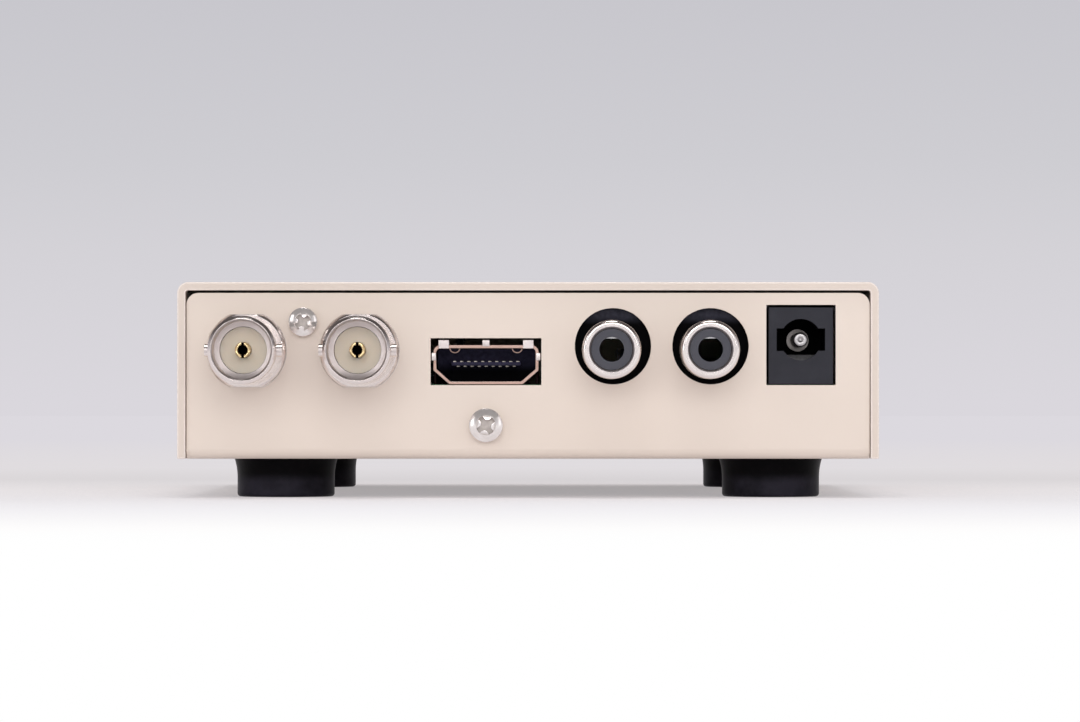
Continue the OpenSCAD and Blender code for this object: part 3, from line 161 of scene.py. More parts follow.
def powder_coat(name, tone_a, tone_b, low_gloss, high_gloss):
    """Satin polyester powder coat: even and waxy, with a fine orange peel that breaks the gloss up."""
    material = blank(name)
    place = add(material, "ShaderNodeTexCoord").outputs["Object"]
    cloud = add(material, "ShaderNodeTexNoise", {
        "Vector": place, "Scale": per_mm(CLOUD_MM), "Detail": 3})
    peel = add(material, "ShaderNodeTexNoise", {
        "Vector": place, "Scale": per_mm(PEEL_MM), "Detail": 2})
    tone = add(material, "ShaderNodeMix", {
        FACTOR: cloud.outputs["Fac"], COLOUR_A: linear(tone_a), COLOUR_B: linear(tone_b),
    }, data_type="RGBA")
    gloss = add(material, "ShaderNodeMapRange", {
        "Value": peel.outputs["Fac"], "From Min": NOISE_LOW, "From Max": NOISE_HIGH,
        "To Min": low_gloss, "To Max": high_gloss})
    skin = add(material, "ShaderNodeBump", {
        "Height": peel.outputs["Fac"], "Strength": 0.35, "Distance": 0.02 * MM})
    surface = add(material, "ShaderNodeBsdfPrincipled", {
        "Base Color": tone.outputs[MIXED], "Roughness": gloss.outputs["Result"],
        "Normal": skin.outputs["Normal"], "IOR": 1.5})
    add(material, "ShaderNodeOutputMaterial", {"Surface": surface.outputs["BSDF"]})
    return material


chassis_coat = powder_coat("satin beige powder coat on the chassis", "E7D9CE", "E2D3C7", 0.40, 0.52)
# The cover has the chassis's coat, painted a little darker as painted shade
shaded_cover_coat = powder_coat("smoother beige powder coat on the cover", "DFD1C6", "DACBC0", 0.40, 0.50)
highlight_edge_coat = powder_coat("powder coat painted pale on an edge as a highlight", "F0E5DE", "ECDFD7", 0.22, 0.3)

finish(chassis_coat, EDGE_COAT, "base_chassis")
finish(shaded_cover_coat, EDGE_COVER, "top_cover")

# The cover's rounding is even all round, and painted paler than its faces as a highlight
nodes["top_cover"].data.materials.append(highlight_edge_coat)
cover_edges = nodes["top_cover"].modifiers["edges"]
cover_edges.material = 1
cover_edges.offset_type = "OFFSET"
cover_edges.loop_slide = False


# ---- Feet ----
# Four moulded rubber feet with a hollow flare under the floor. Each is held by a screw whose head and
# washer sit in the foot's pocket, and by a nut inside the case.

RUBBER_BLACK = "030204"
RUBBER_DUST_AND_SHEEN = "2A2831"
RUBBER_GRAIN_MM = 0.35
SHEEN_PATCH_MM = 4
SHEEN_TOP = 3.6
SHEEN_FADE = 1.6
EDGE_RUBBER = 0.15

# Moulded rubber: near black and dull, paler grey in soft patches near the desk, as dust and a painted
# reflection of the desk
rubber = blank("moulded black rubber")
place = add(rubber, "ShaderNodeTexCoord").outputs["Object"]
height = add(rubber, "ShaderNodeSeparateXYZ", {"Vector": place}).outputs["Z"]
low = add(rubber, "ShaderNodeMapRange", {
    "Value": height, "From Min": SHEEN_TOP * MM, "From Max": (SHEEN_TOP - SHEEN_FADE) * MM},
    interpolation_type="SMOOTHSTEP")
bloom = add(rubber, "ShaderNodeTexNoise", {"Vector": place, "Scale": per_mm(SHEEN_PATCH_MM), "Detail": 3})
patch = add(rubber, "ShaderNodeMapRange", {
    "Value": bloom.outputs["Fac"], "From Min": 0.3, "From Max": 0.6, "To Min": 0.35, "To Max": 1})
dust_and_sheen = add(rubber, "ShaderNodeMath", {
    0: low.outputs["Result"], 1: patch.outputs["Result"]}, operation="MULTIPLY")
grain = add(rubber, "ShaderNodeTexNoise", {
    "Vector": place, "Scale": per_mm(RUBBER_GRAIN_MM), "Detail": 3})
tone = add(rubber, "ShaderNodeMix", {
    FACTOR: dust_and_sheen.outputs["Value"], COLOUR_A: linear(RUBBER_BLACK), COLOUR_B: linear(RUBBER_DUST_AND_SHEEN),
}, data_type="RGBA")
skin = add(rubber, "ShaderNodeBump", {
    "Height": grain.outputs["Fac"], "Strength": 0.4, "Distance": 0.03 * MM})
surface = add(rubber, "ShaderNodeBsdfPrincipled", {
    "Base Color": tone.outputs[MIXED], "Roughness": 0.4, "IOR": 1.14, "Normal": skin.outputs["Normal"]})
add(rubber, "ShaderNodeOutputMaterial", {"Surface": surface.outputs["BSDF"]})

finish(rubber, EDGE_RUBBER,
       "foot_socket_left", "foot_socket_right", "foot_lamp_left", "foot_lamp_right")


# ---- Screws, nuts and washers ----
# Turned and cold headed steel parts, zinc plated: pan heads under the feet and on the boards, flat
# heads in the cover, clinch nuts in the sheet. The plating lies in small crystals.

ZINC = "FAF6F4"
ZINC_DULL = "E2DAD6"
ZINC_CRYSTAL_MM = 0.45
RECESS_SHADE = "A0968F"
RECESS_PALE = "E6DEDA"
RECESS_SHARE = 0.3
RECESS_FRONT, RECESS_BACK = 0.12, 1.5
EDGE_SCREW = 0.06


def middle_of(name):
    """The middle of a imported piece's box, in millimetres."""
    low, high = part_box(name)
    return (low + high) / 2 / MM


def from_axis(place, axis):
    """How far a place is from a socket's or a screw's axis, which runs straight out of the panel."""
    return math.hypot(place.x - axis.x, place.z - axis.z)


# Bright zinc plate: a slightly mottled mirror with a thin white bloom over it
zinc = blank("bright zinc plate on steel")
place = add(zinc, "ShaderNodeTexCoord").outputs["Object"]
crystal = add(zinc, "ShaderNodeTexVoronoi", {"Vector": place, "Scale": per_mm(ZINC_CRYSTAL_MM)})
smear = add(zinc, "ShaderNodeTexNoise", {"Vector": place, "Scale": per_mm(0.9), "Detail": 4})
tone = add(zinc, "ShaderNodeMix", {
    FACTOR: smear.outputs["Fac"], COLOUR_A: linear(ZINC), COLOUR_B: linear(ZINC_DULL),
}, data_type="RGBA")
gloss = add(zinc, "ShaderNodeMapRange", {
    "Value": smear.outputs["Fac"], "From Min": NOISE_LOW, "From Max": NOISE_HIGH,
    "To Min": 0.10, "To Max": 0.24})
skin = add(zinc, "ShaderNodeBump", {
    "Height": crystal.outputs["Distance"], "Strength": 0.25, "Distance": 0.01 * MM})
surface = add(zinc, "ShaderNodeBsdfPrincipled", {
    "Base Color": tone.outputs[MIXED], "Metallic": 0.72, "Roughness": gloss.outputs["Result"],
    "Normal": skin.outputs["Normal"]})
add(zinc, "ShaderNodeOutputMaterial", {"Surface": surface.outputs["BSDF"]})

# The same plate in the recess of a head, rougher and darkened in patches as painted shade
recess_shade_zinc = blank("zinc plate darkened in a screw recess as painted shade")
place = add(recess_shade_zinc, "ShaderNodeTexCoord").outputs["Object"]
recess_noise = add(recess_shade_zinc, "ShaderNodeTexNoise", {"Vector": place, "Scale": per_mm(0.5), "Detail": 4})
tone = add(recess_shade_zinc, "ShaderNodeMix", {
    FACTOR: recess_noise.outputs["Fac"], COLOUR_A: linear(RECESS_SHADE), COLOUR_B: linear(RECESS_PALE),
}, data_type="RGBA")
surface = add(recess_shade_zinc, "ShaderNodeBsdfPrincipled", {
    "Base Color": tone.outputs[MIXED], "Metallic": 0.6, "Roughness": 0.5})
add(recess_shade_zinc, "ShaderNodeOutputMaterial", {"Surface": surface.outputs["BSDF"]})

finish(zinc, EDGE_SCREW, "cover_screws", "cover_nuts", "foot_washers", "foot_screws", "foot_nuts",
       "board_screws", "bnc_board_screw", "hdmi_lock_nut", "bnc_panel_screw", "hdmi_lock_screw")
# The faces in each head's cross recess get painted shade
for name in ("bnc_panel_screw", "hdmi_lock_screw"):
    low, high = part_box(name)
    axis = middle_of(name)
    head_d = (high.x - low.x) / MM
    face_y = low.y / MM
    paint(recess_shade_zinc, lambda middle, normal: from_axis(middle, axis) < RECESS_SHARE * head_d
          and RECESS_FRONT < middle.y - face_y < RECESS_BACK, name)


# ---- Boards ----
# The main board stands on four threaded spacers; a small upright board carries the coax sockets.
# Both are glass fibre laminate under a green solder mask that the copper tracks show through.

MASK_GREEN = "1C5A34"
TRACK_GREEN = "2E7A48"
TRACK_MM = 1.27

# Solder mask over copper: glossy green, the tracks lighter and standing a little proud
board = blank("green solder mask on glass fibre laminate")
place = add(board, "ShaderNodeTexCoord").outputs["Object"]
tracks = add(board, "ShaderNodeTexBrick", {
    "Vector": place, "Scale": per_mm(TRACK_MM * 4), "Mortar Size": 0.045, "Mortar Smooth": 0.1,
    "Color1": linear(MASK_GREEN), "Color2": linear(MASK_GREEN), "Mortar": linear(TRACK_GREEN)})
skin = add(board, "ShaderNodeBump", {
    "Height": tracks.outputs["Fac"], "Strength": 0.5, "Distance": 0.03 * MM})
surface = add(board, "ShaderNodeBsdfPrincipled", {
    "Base Color": tracks.outputs["Color"], "Roughness": 0.25, "Normal": skin.outputs["Normal"]})
add(board, "ShaderNodeOutputMaterial", {"Surface": surface.outputs["BSDF"]})

finish(board, 0, "main_board", "bnc_board")


# ---- Nickel plated parts: spacers and the coax and sound sockets' metal ----
# Turned brass, nickel plated. The tool leaves fine rings round the sockets' axis, which the plating
# keeps, so the gloss changes a little from ring to ring.

NICKEL = "EEE5E1"
TOOL_RING_MM = 0.12
EDGE_NICKEL = 0.07
EDGE_BARREL = 0.04
BORE_NICKEL_IN_SHADE = "DAD0CD"
BORE_SHADE = "8A8280"
SHADE_LOW, SHADE_HIGH = -4.1, -2.2
# A face looks inwards in a sound barrel by this share of its distance, in a coax barrel by these mm
INWARD_SHARE, INWARD_MM = 0.45, 1
STEP_L = 1.5
FLAT = 0.9

# Nickel plate on turned brass: a warm grey mirror with faint rings
nickel = blank("nickel plate on turned brass")
place = add(nickel, "ShaderNodeTexCoord").outputs["Object"]
along = add(nickel, "ShaderNodeVectorMath", {0: place, 1: (0.02, 1, 0.02)}, operation="MULTIPLY")
rings = add(nickel, "ShaderNodeTexNoise", {
    "Vector": along.outputs["Vector"], "Scale": per_mm(TOOL_RING_MM), "Detail": 2})
stain = add(nickel, "ShaderNodeTexNoise", {"Vector": place, "Scale": per_mm(2.5), "Detail": 4})
gloss = add(nickel, "ShaderNodeMapRange", {
    "Value": stain.outputs["Fac"], "From Min": NOISE_LOW, "From Max": NOISE_HIGH,
    "To Min": 0.13, "To Max": 0.22})
skin = add(nickel, "ShaderNodeBump", {
    "Height": rings.outputs["Fac"], "Strength": 0.15, "Distance": 0.004 * MM})
surface = add(nickel, "ShaderNodeBsdfPrincipled", {
    "Base Color": linear(NICKEL), "Metallic": 1, "Roughness": gloss.outputs["Result"],
    "Normal": skin.outputs["Normal"]})
add(nickel, "ShaderNodeOutputMaterial", {"Surface": surface.outputs["BSDF"]})

# The same plate in the barrels' bores: rubbed to a satin by plugs, darker than outside and darker still
# below, as painted shade
shaded_bore_nickel = blank("rubbed nickel plate inside a barrel")
place = add(shaded_bore_nickel, "ShaderNodeTexCoord").outputs["Object"]
rub = add(shaded_bore_nickel, "ShaderNodeTexNoise", {"Vector": place, "Scale": per_mm(0.7), "Detail": 4})
gloss = add(shaded_bore_nickel, "ShaderNodeMapRange", {
    "Value": rub.outputs["Fac"], "From Min": NOISE_LOW, "From Max": NOISE_HIGH,
    "To Min": 0.38, "To Max": 0.5})
core_z = middle_of("bnc_in_insulator").z
height = add(shaded_bore_nickel, "ShaderNodeSeparateXYZ", {"Vector": place}).outputs["Z"]
rise = add(shaded_bore_nickel, "ShaderNodeMapRange", {
    "Value": height, "From Min": (core_z + SHADE_LOW) * MM, "From Max": (core_z + SHADE_HIGH) * MM},
    interpolation_type="SMOOTHSTEP")
tone = add(shaded_bore_nickel, "ShaderNodeMix", {
    FACTOR: rise.outputs["Result"], COLOUR_A: linear(BORE_SHADE), COLOUR_B: linear(BORE_NICKEL_IN_SHADE),
}, data_type="RGBA")
surface = add(shaded_bore_nickel, "ShaderNodeBsdfPrincipled", {
    "Base Color": tone.outputs[MIXED], "Metallic": 1, "Roughness": gloss.outputs["Result"]})
add(shaded_bore_nickel, "ShaderNodeOutputMaterial", {"Surface": surface.outputs["BSDF"]})


def outward(middle, normal, axis):
    """How far a face is from an axis, times how much it looks away from it."""
    return (middle.x - axis.x) * normal.x + (middle.z - axis.z) * normal.z


finish(nickel, EDGE_NICKEL, "board_standoffs", "bnc_post", "rca_left_barrel", "rca_right_barrel")
# The inward faces of the sound barrels get the painted shade of a bore
for name in ("rca_left_barrel", "rca_right_barrel"):
    axis = middle_of(name.replace("barrel", "insulator"))
    paint(shaded_bore_nickel, lambda middle, normal: outward(middle, normal, axis)
          < -INWARD_SHARE * from_axis(middle, axis), name)
finish(nickel, EDGE_BARREL, "bnc_in_shell", "bnc_out_shell")
for name in ("bnc_in_shell", "bnc_out_shell"):
    core = name.replace("shell", "insulator")
    axis = middle_of(core)
    core_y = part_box(core)[0].y / MM
    # The rim is a narrow ring, and a ring keeps its hole best when it is drawn as two halves
    paint(nickel, lambda middle, normal: abs(normal.y) > FLAT and middle.x > axis.x, name)
    # The inward faces, and the step before the insulator, get the painted shade of a bore
    paint(shaded_bore_nickel, lambda middle, normal: outward(middle, normal, axis) < -INWARD_MM
          or (normal.y < -FLAT and core_y - STEP_L < middle.y < core_y), name)


# ---- Coax sockets' cores ----
# Each barrel holds a turned fluoropolymer insulator, and in its middle a split contact, turned from
# brass, slotted and gold plated. The bore and the slots between its leaves look black.

CORE_CREAM = "F2E6D4"
GOLD = "F6DCA8"
BORE_BLACK = "050303"
BORE_BROWN = "1A0F08"
BORE_R = 0.76
SLOT_HALF_W = 0.2
RIM_DEPTH = 0.01
EDGE_CORE = 0.08
EDGE_CONTACT = 0.04
EDGE_PIN = 0.02

# Turned fluoropolymer: waxy, slightly see-through cream
cream = blank("turned cream fluoropolymer")
place = add(cream, "ShaderNodeTexCoord").outputs["Object"]
haze = add(cream, "ShaderNodeTexNoise", {"Vector": place, "Scale": per_mm(1.6), "Detail": 3})
gloss = add(cream, "ShaderNodeMapRange", {
    "Value": haze.outputs["Fac"], "From Min": NOISE_LOW, "From Max": NOISE_HIGH,
    "To Min": 0.28, "To Max": 0.42})
skin = add(cream, "ShaderNodeBump", {
    "Height": haze.outputs["Fac"], "Strength": 0.1, "Distance": 0.02 * MM})
surface = add(cream, "ShaderNodeBsdfPrincipled", {
    "Base Color": linear(CORE_CREAM), "Roughness": gloss.outputs["Result"], "IOR": 1.38,
    "Subsurface Weight": 0.25, "Subsurface Radius": (1, 0.8, 0.6), "Subsurface Scale": 0.8 * MM,
    "Normal": skin.outputs["Normal"]})
add(cream, "ShaderNodeOutputMaterial", {"Surface": surface.outputs["BSDF"]})

# Gold plate over nickel: warm and bright, in places a little worn
gold = blank("gold plate on spring brass")
place = add(gold, "ShaderNodeTexCoord").outputs["Object"]
wear = add(gold, "ShaderNodeTexNoise", {"Vector": place, "Scale": per_mm(0.5), "Detail": 3})
gloss = add(gold, "ShaderNodeMapRange", {
    "Value": wear.outputs["Fac"], "From Min": NOISE_LOW, "From Max": NOISE_HIGH,
    "To Min": 0.18, "To Max": 0.32})
surface = add(gold, "ShaderNodeBsdfPrincipled", {
    "Base Color": linear(GOLD), "Metallic": 1, "Roughness": gloss.outputs["Result"]})
add(gold, "ShaderNodeOutputMaterial", {"Surface": surface.outputs["BSDF"]})

# The same gold, painted near black inside the bore and the slots as painted shade, where no light
# reaches it
bore_shade_gold = blank("gold plate painted near black inside a bore as shade")
place = add(bore_shade_gold, "ShaderNodeTexCoord").outputs["Object"]
bore_shade_noise = add(bore_shade_gold, "ShaderNodeTexNoise", {"Vector": place, "Scale": per_mm(0.4), "Detail": 2})
tone = add(bore_shade_gold, "ShaderNodeMix", {
    FACTOR: bore_shade_noise.outputs["Fac"], COLOUR_A: linear(BORE_BLACK), COLOUR_B: linear(BORE_BROWN),
}, data_type="RGBA")
surface = add(bore_shade_gold, "ShaderNodeBsdfPrincipled", {
    "Base Color": tone.outputs[MIXED], "Roughness": 0.7, "IOR": 1.1})
add(bore_shade_gold, "ShaderNodeOutputMaterial", {"Surface": surface.outputs["BSDF"]})

finish(cream, EDGE_CORE, "bnc_in_insulator", "bnc_out_insulator")
finish(gold, EDGE_CONTACT, "bnc_in_contact", "bnc_out_contact")
finish(gold, EDGE_PIN, "header_pins")
for name in ("bnc_in_contact", "bnc_out_contact"):
    axis = middle_of(name)
    rim_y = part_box(name)[0].y / MM
    # Painted shade in the contact's bore and in its slots
    paint(bore_shade_gold, lambda middle, normal: middle.y > rim_y + RIM_DEPTH and (
        from_axis(middle, axis) < BORE_R or abs(middle.x - axis.x) < SLOT_HALF_W), name)


# ---- Picture socket's shell ----
# Folded from nickel plated copper alloy strip. Its mouth's tabs are bent out against the cut-out, and
# two springs hang under its top wall in a U. The strip is plated first, so its cut edge is bare.

SHELL_NICKEL = "D3CAC7"
STRIP_COPPER = "B89C90"
STRIP_SHADE = "1C1414"
EDGE_STRIP = 0.09
shell_low, shell_high = (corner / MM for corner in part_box("hdmi_shell"))
SHELL_X = (shell_low.x + shell_high.x) / 2
SHELL_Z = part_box("main_board")[1].z / MM
MOUTH = PANEL_Y - shell_low.y
SHELL_L = 11.5
HALF_W, HEIGHT, WALL = 7.5, 5.6, 0.42
SLANT_W, SLANT_H, CORNER_R, CORNER_STEPS = 2.3, 2.0, 1.0, 6
# Springs: middle, radius, depth and thickness of the U, place behind the tabs, length
CURL_X, CURL_W, CURL_DROP, CURL_T, CURL_BACK, CURL_L = 4.45, 0.78, 0.72, 0.15, 0.25, 3.5
CURL_STEPS = 12
SHADE_FRONT, SHADE_BACK = 0.4, 1.5
TAB_T, TAB_OUT = 0.35, 0.06
# Tabs of the mouth: left edge, right edge, lower edge and upper edge
TABS = [(-6.8, -5.25, 5.1, 6.35), (-0.53, 0.53, 5.4, 6.35), (5.25, 6.8, 5.1, 6.35),
        (-7.78, -7.1, 3.4, 4.5), (7.1, 7.78, 3.4, 4.5)]
LEG_W, LEG_DROP, LEG_DEPTHS = 1.0, 2.6, (3.4, 9.4)
SAME = 0.01


def shell_loop(inset):
    """The shell's outline, counterclockwise from its lower right corner."""
    half, top, r = HALF_W - inset, HEIGHT - inset, CORNER_R - inset
    slope = math.hypot(SLANT_W, SLANT_H)
    knee = SLANT_H + inset * (slope - SLANT_H) / SLANT_W
    heel = HALF_W - SLANT_W - inset * (slope - SLANT_W) / SLANT_H
    turns = [math.radians(90 * step / CORNER_STEPS) for step in range(CORNER_STEPS + 1)]
    right = [(heel, inset), (half, knee)]
    right += [(half - r + r * math.cos(a), top - r + r * math.sin(a)) for a in turns]
    return right + [(-x, y) for x, y in reversed(right)]


def curl_loop(middle):
    """A spring's U under the shell's top wall: its outer line, then its inner line backwards."""
    outer, inner = [], []
    for step in range(CURL_STEPS + 1):
        turn = math.pi * (1 + step / CURL_STEPS)
        for line, less in ((outer, 0), (inner, CURL_T)):
            line.append((middle + (CURL_W - less) * math.cos(turn),
                         HEIGHT - WALL + (CURL_DROP - less) * math.sin(turn)))
    return outer + inner[::-1]


def box_faces(first):
    """The six faces of a box whose eight corners start at this place in a list."""
    quads = [(0, 1, 3, 2), (4, 6, 7, 5), (0, 4, 5, 1), (2, 3, 7, 6), (0, 2, 6, 4), (1, 5, 7, 3)]
    return [tuple(first + i for i in quad) for quad in quads]


def box_corners(x0, x1, y0, y1, z0, z1):
    """The corners of a box in a socket's frame, in the order that box_faces takes."""
    return [(x, y, z) for x in (x0, x1) for y in (y0, y1) for z in (z0, z1)]


def socket_piece(name, points, faces, x, z, slot, *replaced):
    """A mesh drawn in a socket's frame, with X right, Y up and Z straight out of the panel's face."""
    mesh = bpy.data.meshes.new(name)
    places = [((x + a) * MM, (PANEL_Y - c) * MM, (z + b) * MM) for a, b, c in points]
    mesh.from_pydata(places, [], faces)
    thing = bpy.data.objects.new(name, mesh)
    bpy.context.scene.collection.objects.link(thing)
    for face in mesh.polygons:
        face.use_smooth = True
    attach(thing, "root")
    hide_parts(*replaced)
    return thing


def plated_strip(name, colour):
    """Strip metal that is bright at the mouth and darkened further in, as painted shade."""
    material = blank(name)
    place = add(material, "ShaderNodeTexCoord").outputs["Object"]
    depth = add(material, "ShaderNodeSeparateXYZ", {"Vector": place}).outputs["Y"]
    deep = add(material, "ShaderNodeMapRange", {
        "Value": depth, "From Min": (shell_low.y + SHADE_FRONT) * MM,
        "From Max": (shell_low.y + SHADE_BACK) * MM}, interpolation_type="SMOOTHSTEP")
    tone = add(material, "ShaderNodeMix", {
        FACTOR: deep.outputs["Result"], COLOUR_A: linear(colour), COLOUR_B: linear(STRIP_SHADE),
    }, data_type="RGBA")
    stain = add(material, "ShaderNodeTexNoise", {"Vector": place, "Scale": per_mm(0.8), "Detail": 4})
    gloss = add(material, "ShaderNodeMapRange", {
        "Value": stain.outputs["Fac"], "From Min": NOISE_LOW, "From Max": NOISE_HIGH,
        "To Min": 0.3, "To Max": 0.5})
    surface = add(material, "ShaderNodeBsdfPrincipled", {
        "Base Color": tone.outputs[MIXED], "Metallic": 1, "Roughness": gloss.outputs["Result"]})
    add(material, "ShaderNodeOutputMaterial", {"Surface": surface.outputs["BSDF"]})
    return material


points, faces = [], []
count = len(shell_loop(0))
for depth in (MOUTH - TAB_OUT, MOUTH - SHELL_L):
    for inset in (0, WALL):
        points += [(a, b, depth) for a, b in shell_loop(inset)]
for i in range(count):
    j = (i + 1) % count
    faces.append((i, j, count + j, count + i))
    faces.append((i, 2 * count + i, 2 * count + j, j))
    faces.append((count + i, count + j, 3 * count + j, 3 * count + i))
    faces.append((2 * count + j, 2 * count + i, 3 * count + i, 3 * count + j))
for middle in (-CURL_X, CURL_X):
    first, loop = len(points), curl_loop(middle)
    size, last = len(loop), len(loop) - 1
    for depth in (MOUTH - CURL_BACK, MOUTH - CURL_BACK - CURL_L):
        points += [(a, b, depth) for a, b in loop]
    for i in range(size):
        j = (i + 1) % size
        faces.append((first + i, first + size + i, first + size + j, first + j))
    for i in range(size // 2 - 1):
        quad = (i, i + 1, last - i - 1, last - i)
        faces.append(tuple(first + k for k in quad))
        faces.append(tuple(first + size + k for k in reversed(quad)))
for x0, x1, y0, y1 in TABS:
    faces += box_faces(len(points))
    points += box_corners(x0, x1, y0, y1, MOUTH - TAB_T, MOUTH)
for side in (-1, 1):
    for depth in LEG_DEPTHS:
        faces += box_faces(len(points))
        x0, x1 = sorted((side * HALF_W, side * (HALF_W - WALL)))
        points += box_corners(x0, x1, -LEG_DROP, SLANT_H + WALL / 2, MOUTH - depth - LEG_W / 2,
                              MOUTH - depth + LEG_W / 2)

shell = socket_piece("picture_socket_shell", points, faces, SHELL_X, SHELL_Z, "shell_nickel",
                     "hdmi_shell")
# Both the plate and the cut edge get painted shade further in from the mouth
shell.data.materials.append(plated_strip("nickel plate on copper alloy strip", SHELL_NICKEL))
shell.data.materials.append(plated_strip("bare cut edge of copper alloy strip", STRIP_COPPER))
for face in shell.data.polygons:
    back = MOUTH - (PANEL_Y - face.center.y / MM)
    if min(abs(back - TAB_OUT), abs(back - CURL_BACK)) < SAME:
        face.material_index = 1
round_edges(shell, EDGE_STRIP)


# ---- Picture socket's block and contacts ----
# A moulded block fills the shell's back, and its tongue carries the contacts on both sides. They are
# stamped from bronze strip, with a gold flash so thin that they look nearly grey.

BLOCK_NAVY = "48455F"
BLOCK_SHADOW = "040308"
CONTACT_PALE = "B4ADA4"
BLOCK_DARK_H, BLOCK_PALE_H = 1.2, 1
EDGE_BLOCK = 0.05
EDGE_STAMPED = 0.02


def deep_moulding(name, low, high, dark, pale):
    """A dull moulding deep in a hole: dark up to one height, and catching a little light above it."""
    material = blank(name)
    place = add(material, "ShaderNodeTexCoord").outputs["Object"]
    height = add(material, "ShaderNodeSeparateXYZ", {"Vector": place}).outputs["Z"]
    rise = add(material, "ShaderNodeMapRange", {
        "Value": height, "From Min": low * MM, "From Max": high * MM}, interpolation_type="SMOOTHSTEP")
    grain = add(material, "ShaderNodeTexNoise", {"Vector": place, "Scale": per_mm(0.6), "Detail": 4})
    share = add(material, "ShaderNodeMapRange", {
        "Value": grain.outputs["Fac"], "From Min": NOISE_LOW, "From Max": NOISE_HIGH,
        "To Min": 0.6, "To Max": 1})
    share = add(material, "ShaderNodeMath", {
        0: rise.outputs["Result"], 1: share.outputs["Result"]}, operation="MULTIPLY")
    tone = add(material, "ShaderNodeMix", {
        FACTOR: share.outputs["Value"], COLOUR_A: linear(dark), COLOUR_B: linear(pale),
    }, data_type="RGBA")
    skin = add(material, "ShaderNodeBump", {
        "Height": grain.outputs["Fac"], "Strength": 0.3, "Distance": 0.03 * MM})
    surface = add(material, "ShaderNodeBsdfPrincipled", {
        "Base Color": tone.outputs[MIXED], "Roughness": 0.6, "IOR": 1.12,
        "Normal": skin.outputs["Normal"]})
    add(material, "ShaderNodeOutputMaterial", {"Surface": surface.outputs["BSDF"]})
    return material


def plain_metal(name, colour, low_gloss, high_gloss):
    """Plated or bare metal whose gloss changes in soft stains."""
    material = blank(name)
    place = add(material, "ShaderNodeTexCoord").outputs["Object"]
    stain = add(material, "ShaderNodeTexNoise", {"Vector": place, "Scale": per_mm(1.2), "Detail": 4})
    gloss = add(material, "ShaderNodeMapRange", {
        "Value": stain.outputs["Fac"], "From Min": NOISE_LOW, "From Max": NOISE_HIGH,
        "To Min": low_gloss, "To Max": high_gloss})
    surface = add(material, "ShaderNodeBsdfPrincipled", {
        "Base Color": linear(colour), "Metallic": 1, "Roughness": gloss.outputs["Result"]})
    add(material, "ShaderNodeOutputMaterial", {"Surface": surface.outputs["BSDF"]})
    return material


# Glass filled liquid crystal polymer, dark below and lit a little at the top, and the contacts' plating
block_low, block_high = (corner.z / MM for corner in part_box("hdmi_insulator"))
block = deep_moulding("moulded navy black liquid crystal polymer", block_low + BLOCK_DARK_H,
                      block_high - BLOCK_PALE_H, BLOCK_SHADOW, BLOCK_NAVY)
flash = plain_metal("thin gold flash over nickel", CONTACT_PALE, 0.3, 0.42)

finish(block, EDGE_BLOCK, "hdmi_insulator")
finish(flash, EDGE_STAMPED, "hdmi_contacts")


# ---- Sound sockets ----
# A turned barrel with a rolled lip, a grey insulator and a spring sleeve inside. The moulded body that
# holds them stands behind the panel and shows through the larger hole round each barrel.

BODY_BLACK = "020103"
BODY_LIT = "3A3A45"
INSULATOR_GREY = "484850"
SLEEVE_BLACK = "020202"
TIN = "D8D8DA"
BODY_DARK_H, BODY_LIT_H = 0.6, 0.9
SLEEVE_R = 2.2
STEEP = 0.5
LIP_H = 1
EDGE_BODY = 0.1
EDGE_GREY = 0.04
EDGE_SPRING = 0.03

# Moulded nylon: black, and a little grey above the barrels, where light comes in over them
barrel_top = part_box("rca_left_barrel")[1].z / MM
body = deep_moulding("moulded black nylon behind the panel", barrel_top - BODY_DARK_H,
                     barrel_top + BODY_LIT_H, BODY_BLACK, BODY_LIT)

# Grey moulding: smooth and a little glossy
grey = blank("moulded grey insulator")
place = add(grey, "ShaderNodeTexCoord").outputs["Object"]
flow = add(grey, "ShaderNodeTexNoise", {"Vector": place, "Scale": per_mm(2), "Detail": 3})
gloss = add(grey, "ShaderNodeMapRange", {
    "Value": flow.outputs["Fac"], "From Min": NOISE_LOW, "From Max": NOISE_HIGH,
    "To Min": 0.38, "To Max": 0.5})
surface = add(grey, "ShaderNodeBsdfPrincipled", {
    "Base Color": linear(INSULATOR_GREY), "Roughness": gloss.outputs["Result"], "IOR": 1.35})
add(grey, "ShaderNodeOutputMaterial", {"Surface": surface.outputs["BSDF"]})

# Bright tin plate, and the same plate painted black as shade inside the sleeve and the insulators'
# holes
tin = plain_metal("bright tin plate on spring bronze", TIN, 0.2, 0.34)
sleeve_shade_tin = plain_metal("tin plate painted black inside a sleeve as shade", SLEEVE_BLACK, 0.6, 0.7)

finish(body, EDGE_BODY, "rca_left_housing", "rca_right_housing")
finish(grey, EDGE_GREY, "rca_left_insulator", "rca_right_insulator")
finish(tin, EDGE_SPRING, "rca_left_contact", "rca_right_contact")
barrel_low, barrel_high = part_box("rca_right_barrel")
socket_z = (barrel_high.z - (barrel_high.x - barrel_low.x) / 2) / MM
# Painted shade: all of each sleeve but the front of its leaf, and the insulators' holes
paint(sleeve_shade_tin, lambda middle, normal: not (normal.y < -FLAT and middle.z > socket_z + LIP_H),
      "rca_left_contact", "rca_right_contact")
sleeve_xs = [middle_of(name).x for name in ("rca_left_insulator", "rca_right_insulator")]
paint(sleeve_shade_tin, lambda middle, normal: abs(normal.y) < STEEP and any(
    math.hypot(middle.x - x, middle.z - socket_z) < SLEEVE_R for x in sleeve_xs),
    "rca_left_insulator", "rca_right_insulator")


# ---- Power socket ----
# A moulded body whose bore takes the plug, with a turned and tinned pin in its middle. A leaf spring
# behind the lip presses on the plug's sleeve from below.

